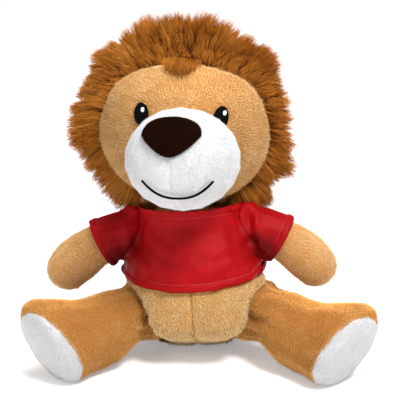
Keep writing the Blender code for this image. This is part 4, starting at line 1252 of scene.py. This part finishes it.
def make_shirt():
    """The T-shirt: body and sleeves of knit with turned hems, and their lines of stitches."""
    torso = ["shirt_front", "shirt_back", "shirt_collar"]
    limb_parts = ("sleeve_", "arm_filling_", "arm_front_", "arm_back_")
    limbs = [part + label for part in limb_parts for _, label in SIDES]
    core = ["body_front_left", "body_front_right", "body_back", "body_filling"]
    mesh = skin_of(torso + limbs + core, 0.0012, 14)
    up = turned((0.0, 0.0, 1.0), SEAT)
    hem = outside((0.0, 0.0, HEM_HEIGHT), SEAT)
    collar = outside((0.0, 0.0, COLLAR_TOP), SEAT)
    neck_up = turned(unit(np.array((0.0, COLLAR_TILT, 1.0))), SEAT)
    ends = {}
    for side, label in SIDES:
        shoulder = shoulder_frame(side)
        place, way = arm_line(side, SLEEVE_SHARE)
        ends[label] = (outside(place, shoulder), turned(way, shoulder))
    move_points(mesh, stand_collar(points_of(mesh)))
    places = points_of(mesh)
    drape = -crease_depth(places) + 0.0006 * ripple(places, 0.014, 31)
    gaps = [(places - hem) @ up, (collar - places) @ neck_up * 1.15]
    gaps += [(place - places) @ way for place, way in ends.values()]
    for gap in gaps:
        turn = clamp(gap / HEM_FOLD)
        near = (gap > -0.004) & (gap < HEM_FOLD * 1.6)
        drape += np.where(near, 0.0007 * (1 - turn ** 8) - groove(gap - HEM_FOLD, 0.0006, 0.0005), 0)
    # Painted shade: a share that darkens the knit in the folds under the arms, most below each armhole
    shade = np.zeros(len(places))
    for place, normal in ARMHOLES.values():
        gap = (places - place) @ np.array(normal)
        drape -= groove(gap, 0.0010, 0.0007)
        low = clamp((place[2] + 0.006 - places[:, 2]) / 0.014)
        shade = np.maximum(shade, groove(gap - 0.004, 0.009, 1) * low)
    write(mesh, shade=shade)
    sink(mesh, -drape)
    cut_by(mesh, hem, -up)
    cut_by(mesh, collar, neck_up)
    for place, way in ends.values():
        cut_by(mesh, place, way)
    trunk = mesh.copy()
    sleeves = {}
    for side, label in SIDES:
        place, normal = ARMHOLES[side]
        cut_by(trunk, place, normal)
        sleeves[label] = mesh.copy()
        cut_by(sleeves[label], place, -Vector(normal))
    seams = [("hem_stitches", cut_line(trunk, hem + up * HEM_FOLD, up), "torso"),
             ("collar_stitches", cut_line(trunk, collar - neck_up * COLLAR_FOLD, neck_up), "torso")]
    for label, (place, way) in ends.items():
        line = cut_line(sleeves[label], place - way * HEM_FOLD, way)
        seams.append(("sleeve_" + label + "_stitches", line, "arm_" + label))
    piece = knitted("shirt_body", trunk)
    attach(piece, "torso")
    lay(torso)
    for side, label in SIDES:
        piece = knitted("sleeve_" + label + "_cloth", sleeves[label])
        start, normal = (Vector(part) for part in ARMHOLES[side])
        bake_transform(piece)
        lay(["sleeve_" + label])
    for name, line, body in seams:
        show(name, grown(line, STITCH_TREE, Material=RED_THREAD, **SHIRT_STITCH), body)


def make_tail():
    """The thin tail and its tuft."""
    mesh = skin_of(["tail"], 0.0008, 4)
    sink(mesh, 0.0010)
    write(mesh, cover=above_floor(mesh), pile=0.7)
    comb(mesh, (0.6, 0.6, -0.2), 1.2, seed=41)
    plush("tail_plush", mesh, "tail", ["tail"], TAN_PLUSH, 3e6)
    tuft = skin_of(["tail_tuft"], 0.0010, 4)
    low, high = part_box("tail_tuft")
    places = points_of(tuft)
    along = (places[:, 0] - low[0]) / (high[0] - low[0])
    slim = TUFT_SLIM * (0.6 + 0.4 * clamp(along * 2))
    for axis in (1, 2):
        middle = (low[axis] + high[axis]) / 2
        places[:, axis] = middle + (places[:, axis] - middle) * slim
    places[:, 2] -= TUFT_DROOP * (1 - (1 - along) ** 2)
    move_points(tuft, places)
    write(
        tuft, cover=clamp(places[:, 2] / 0.003 - 0.7),
        comb=unit(normals_of(tuft) * 0.35 + turned((1.0, -0.1, 0.0), TOY)), sweep=(0.0, 0.0, -0.0010),
        pile=1.0,
    )
    fur(
        "tail_tuft_fur", tuft.copy(), "tail", ["tail_tuft"],
        Density=3.0e6, Length=0.0052, Stray=0.3, Seed=44, Locks=8.0e4, Draw=0.7,
    )
    fur_backing("tail_tuft_backing", tuft, "tail")


make_camera()
make_light()
make_body()
for SIDE, LABEL in SIDES:
    make_arm(SIDE, LABEL)
    make_leg(SIDE, LABEL)
make_face()
make_muzzle()
make_mane()
make_forelock()
make_shirt()
make_tail()
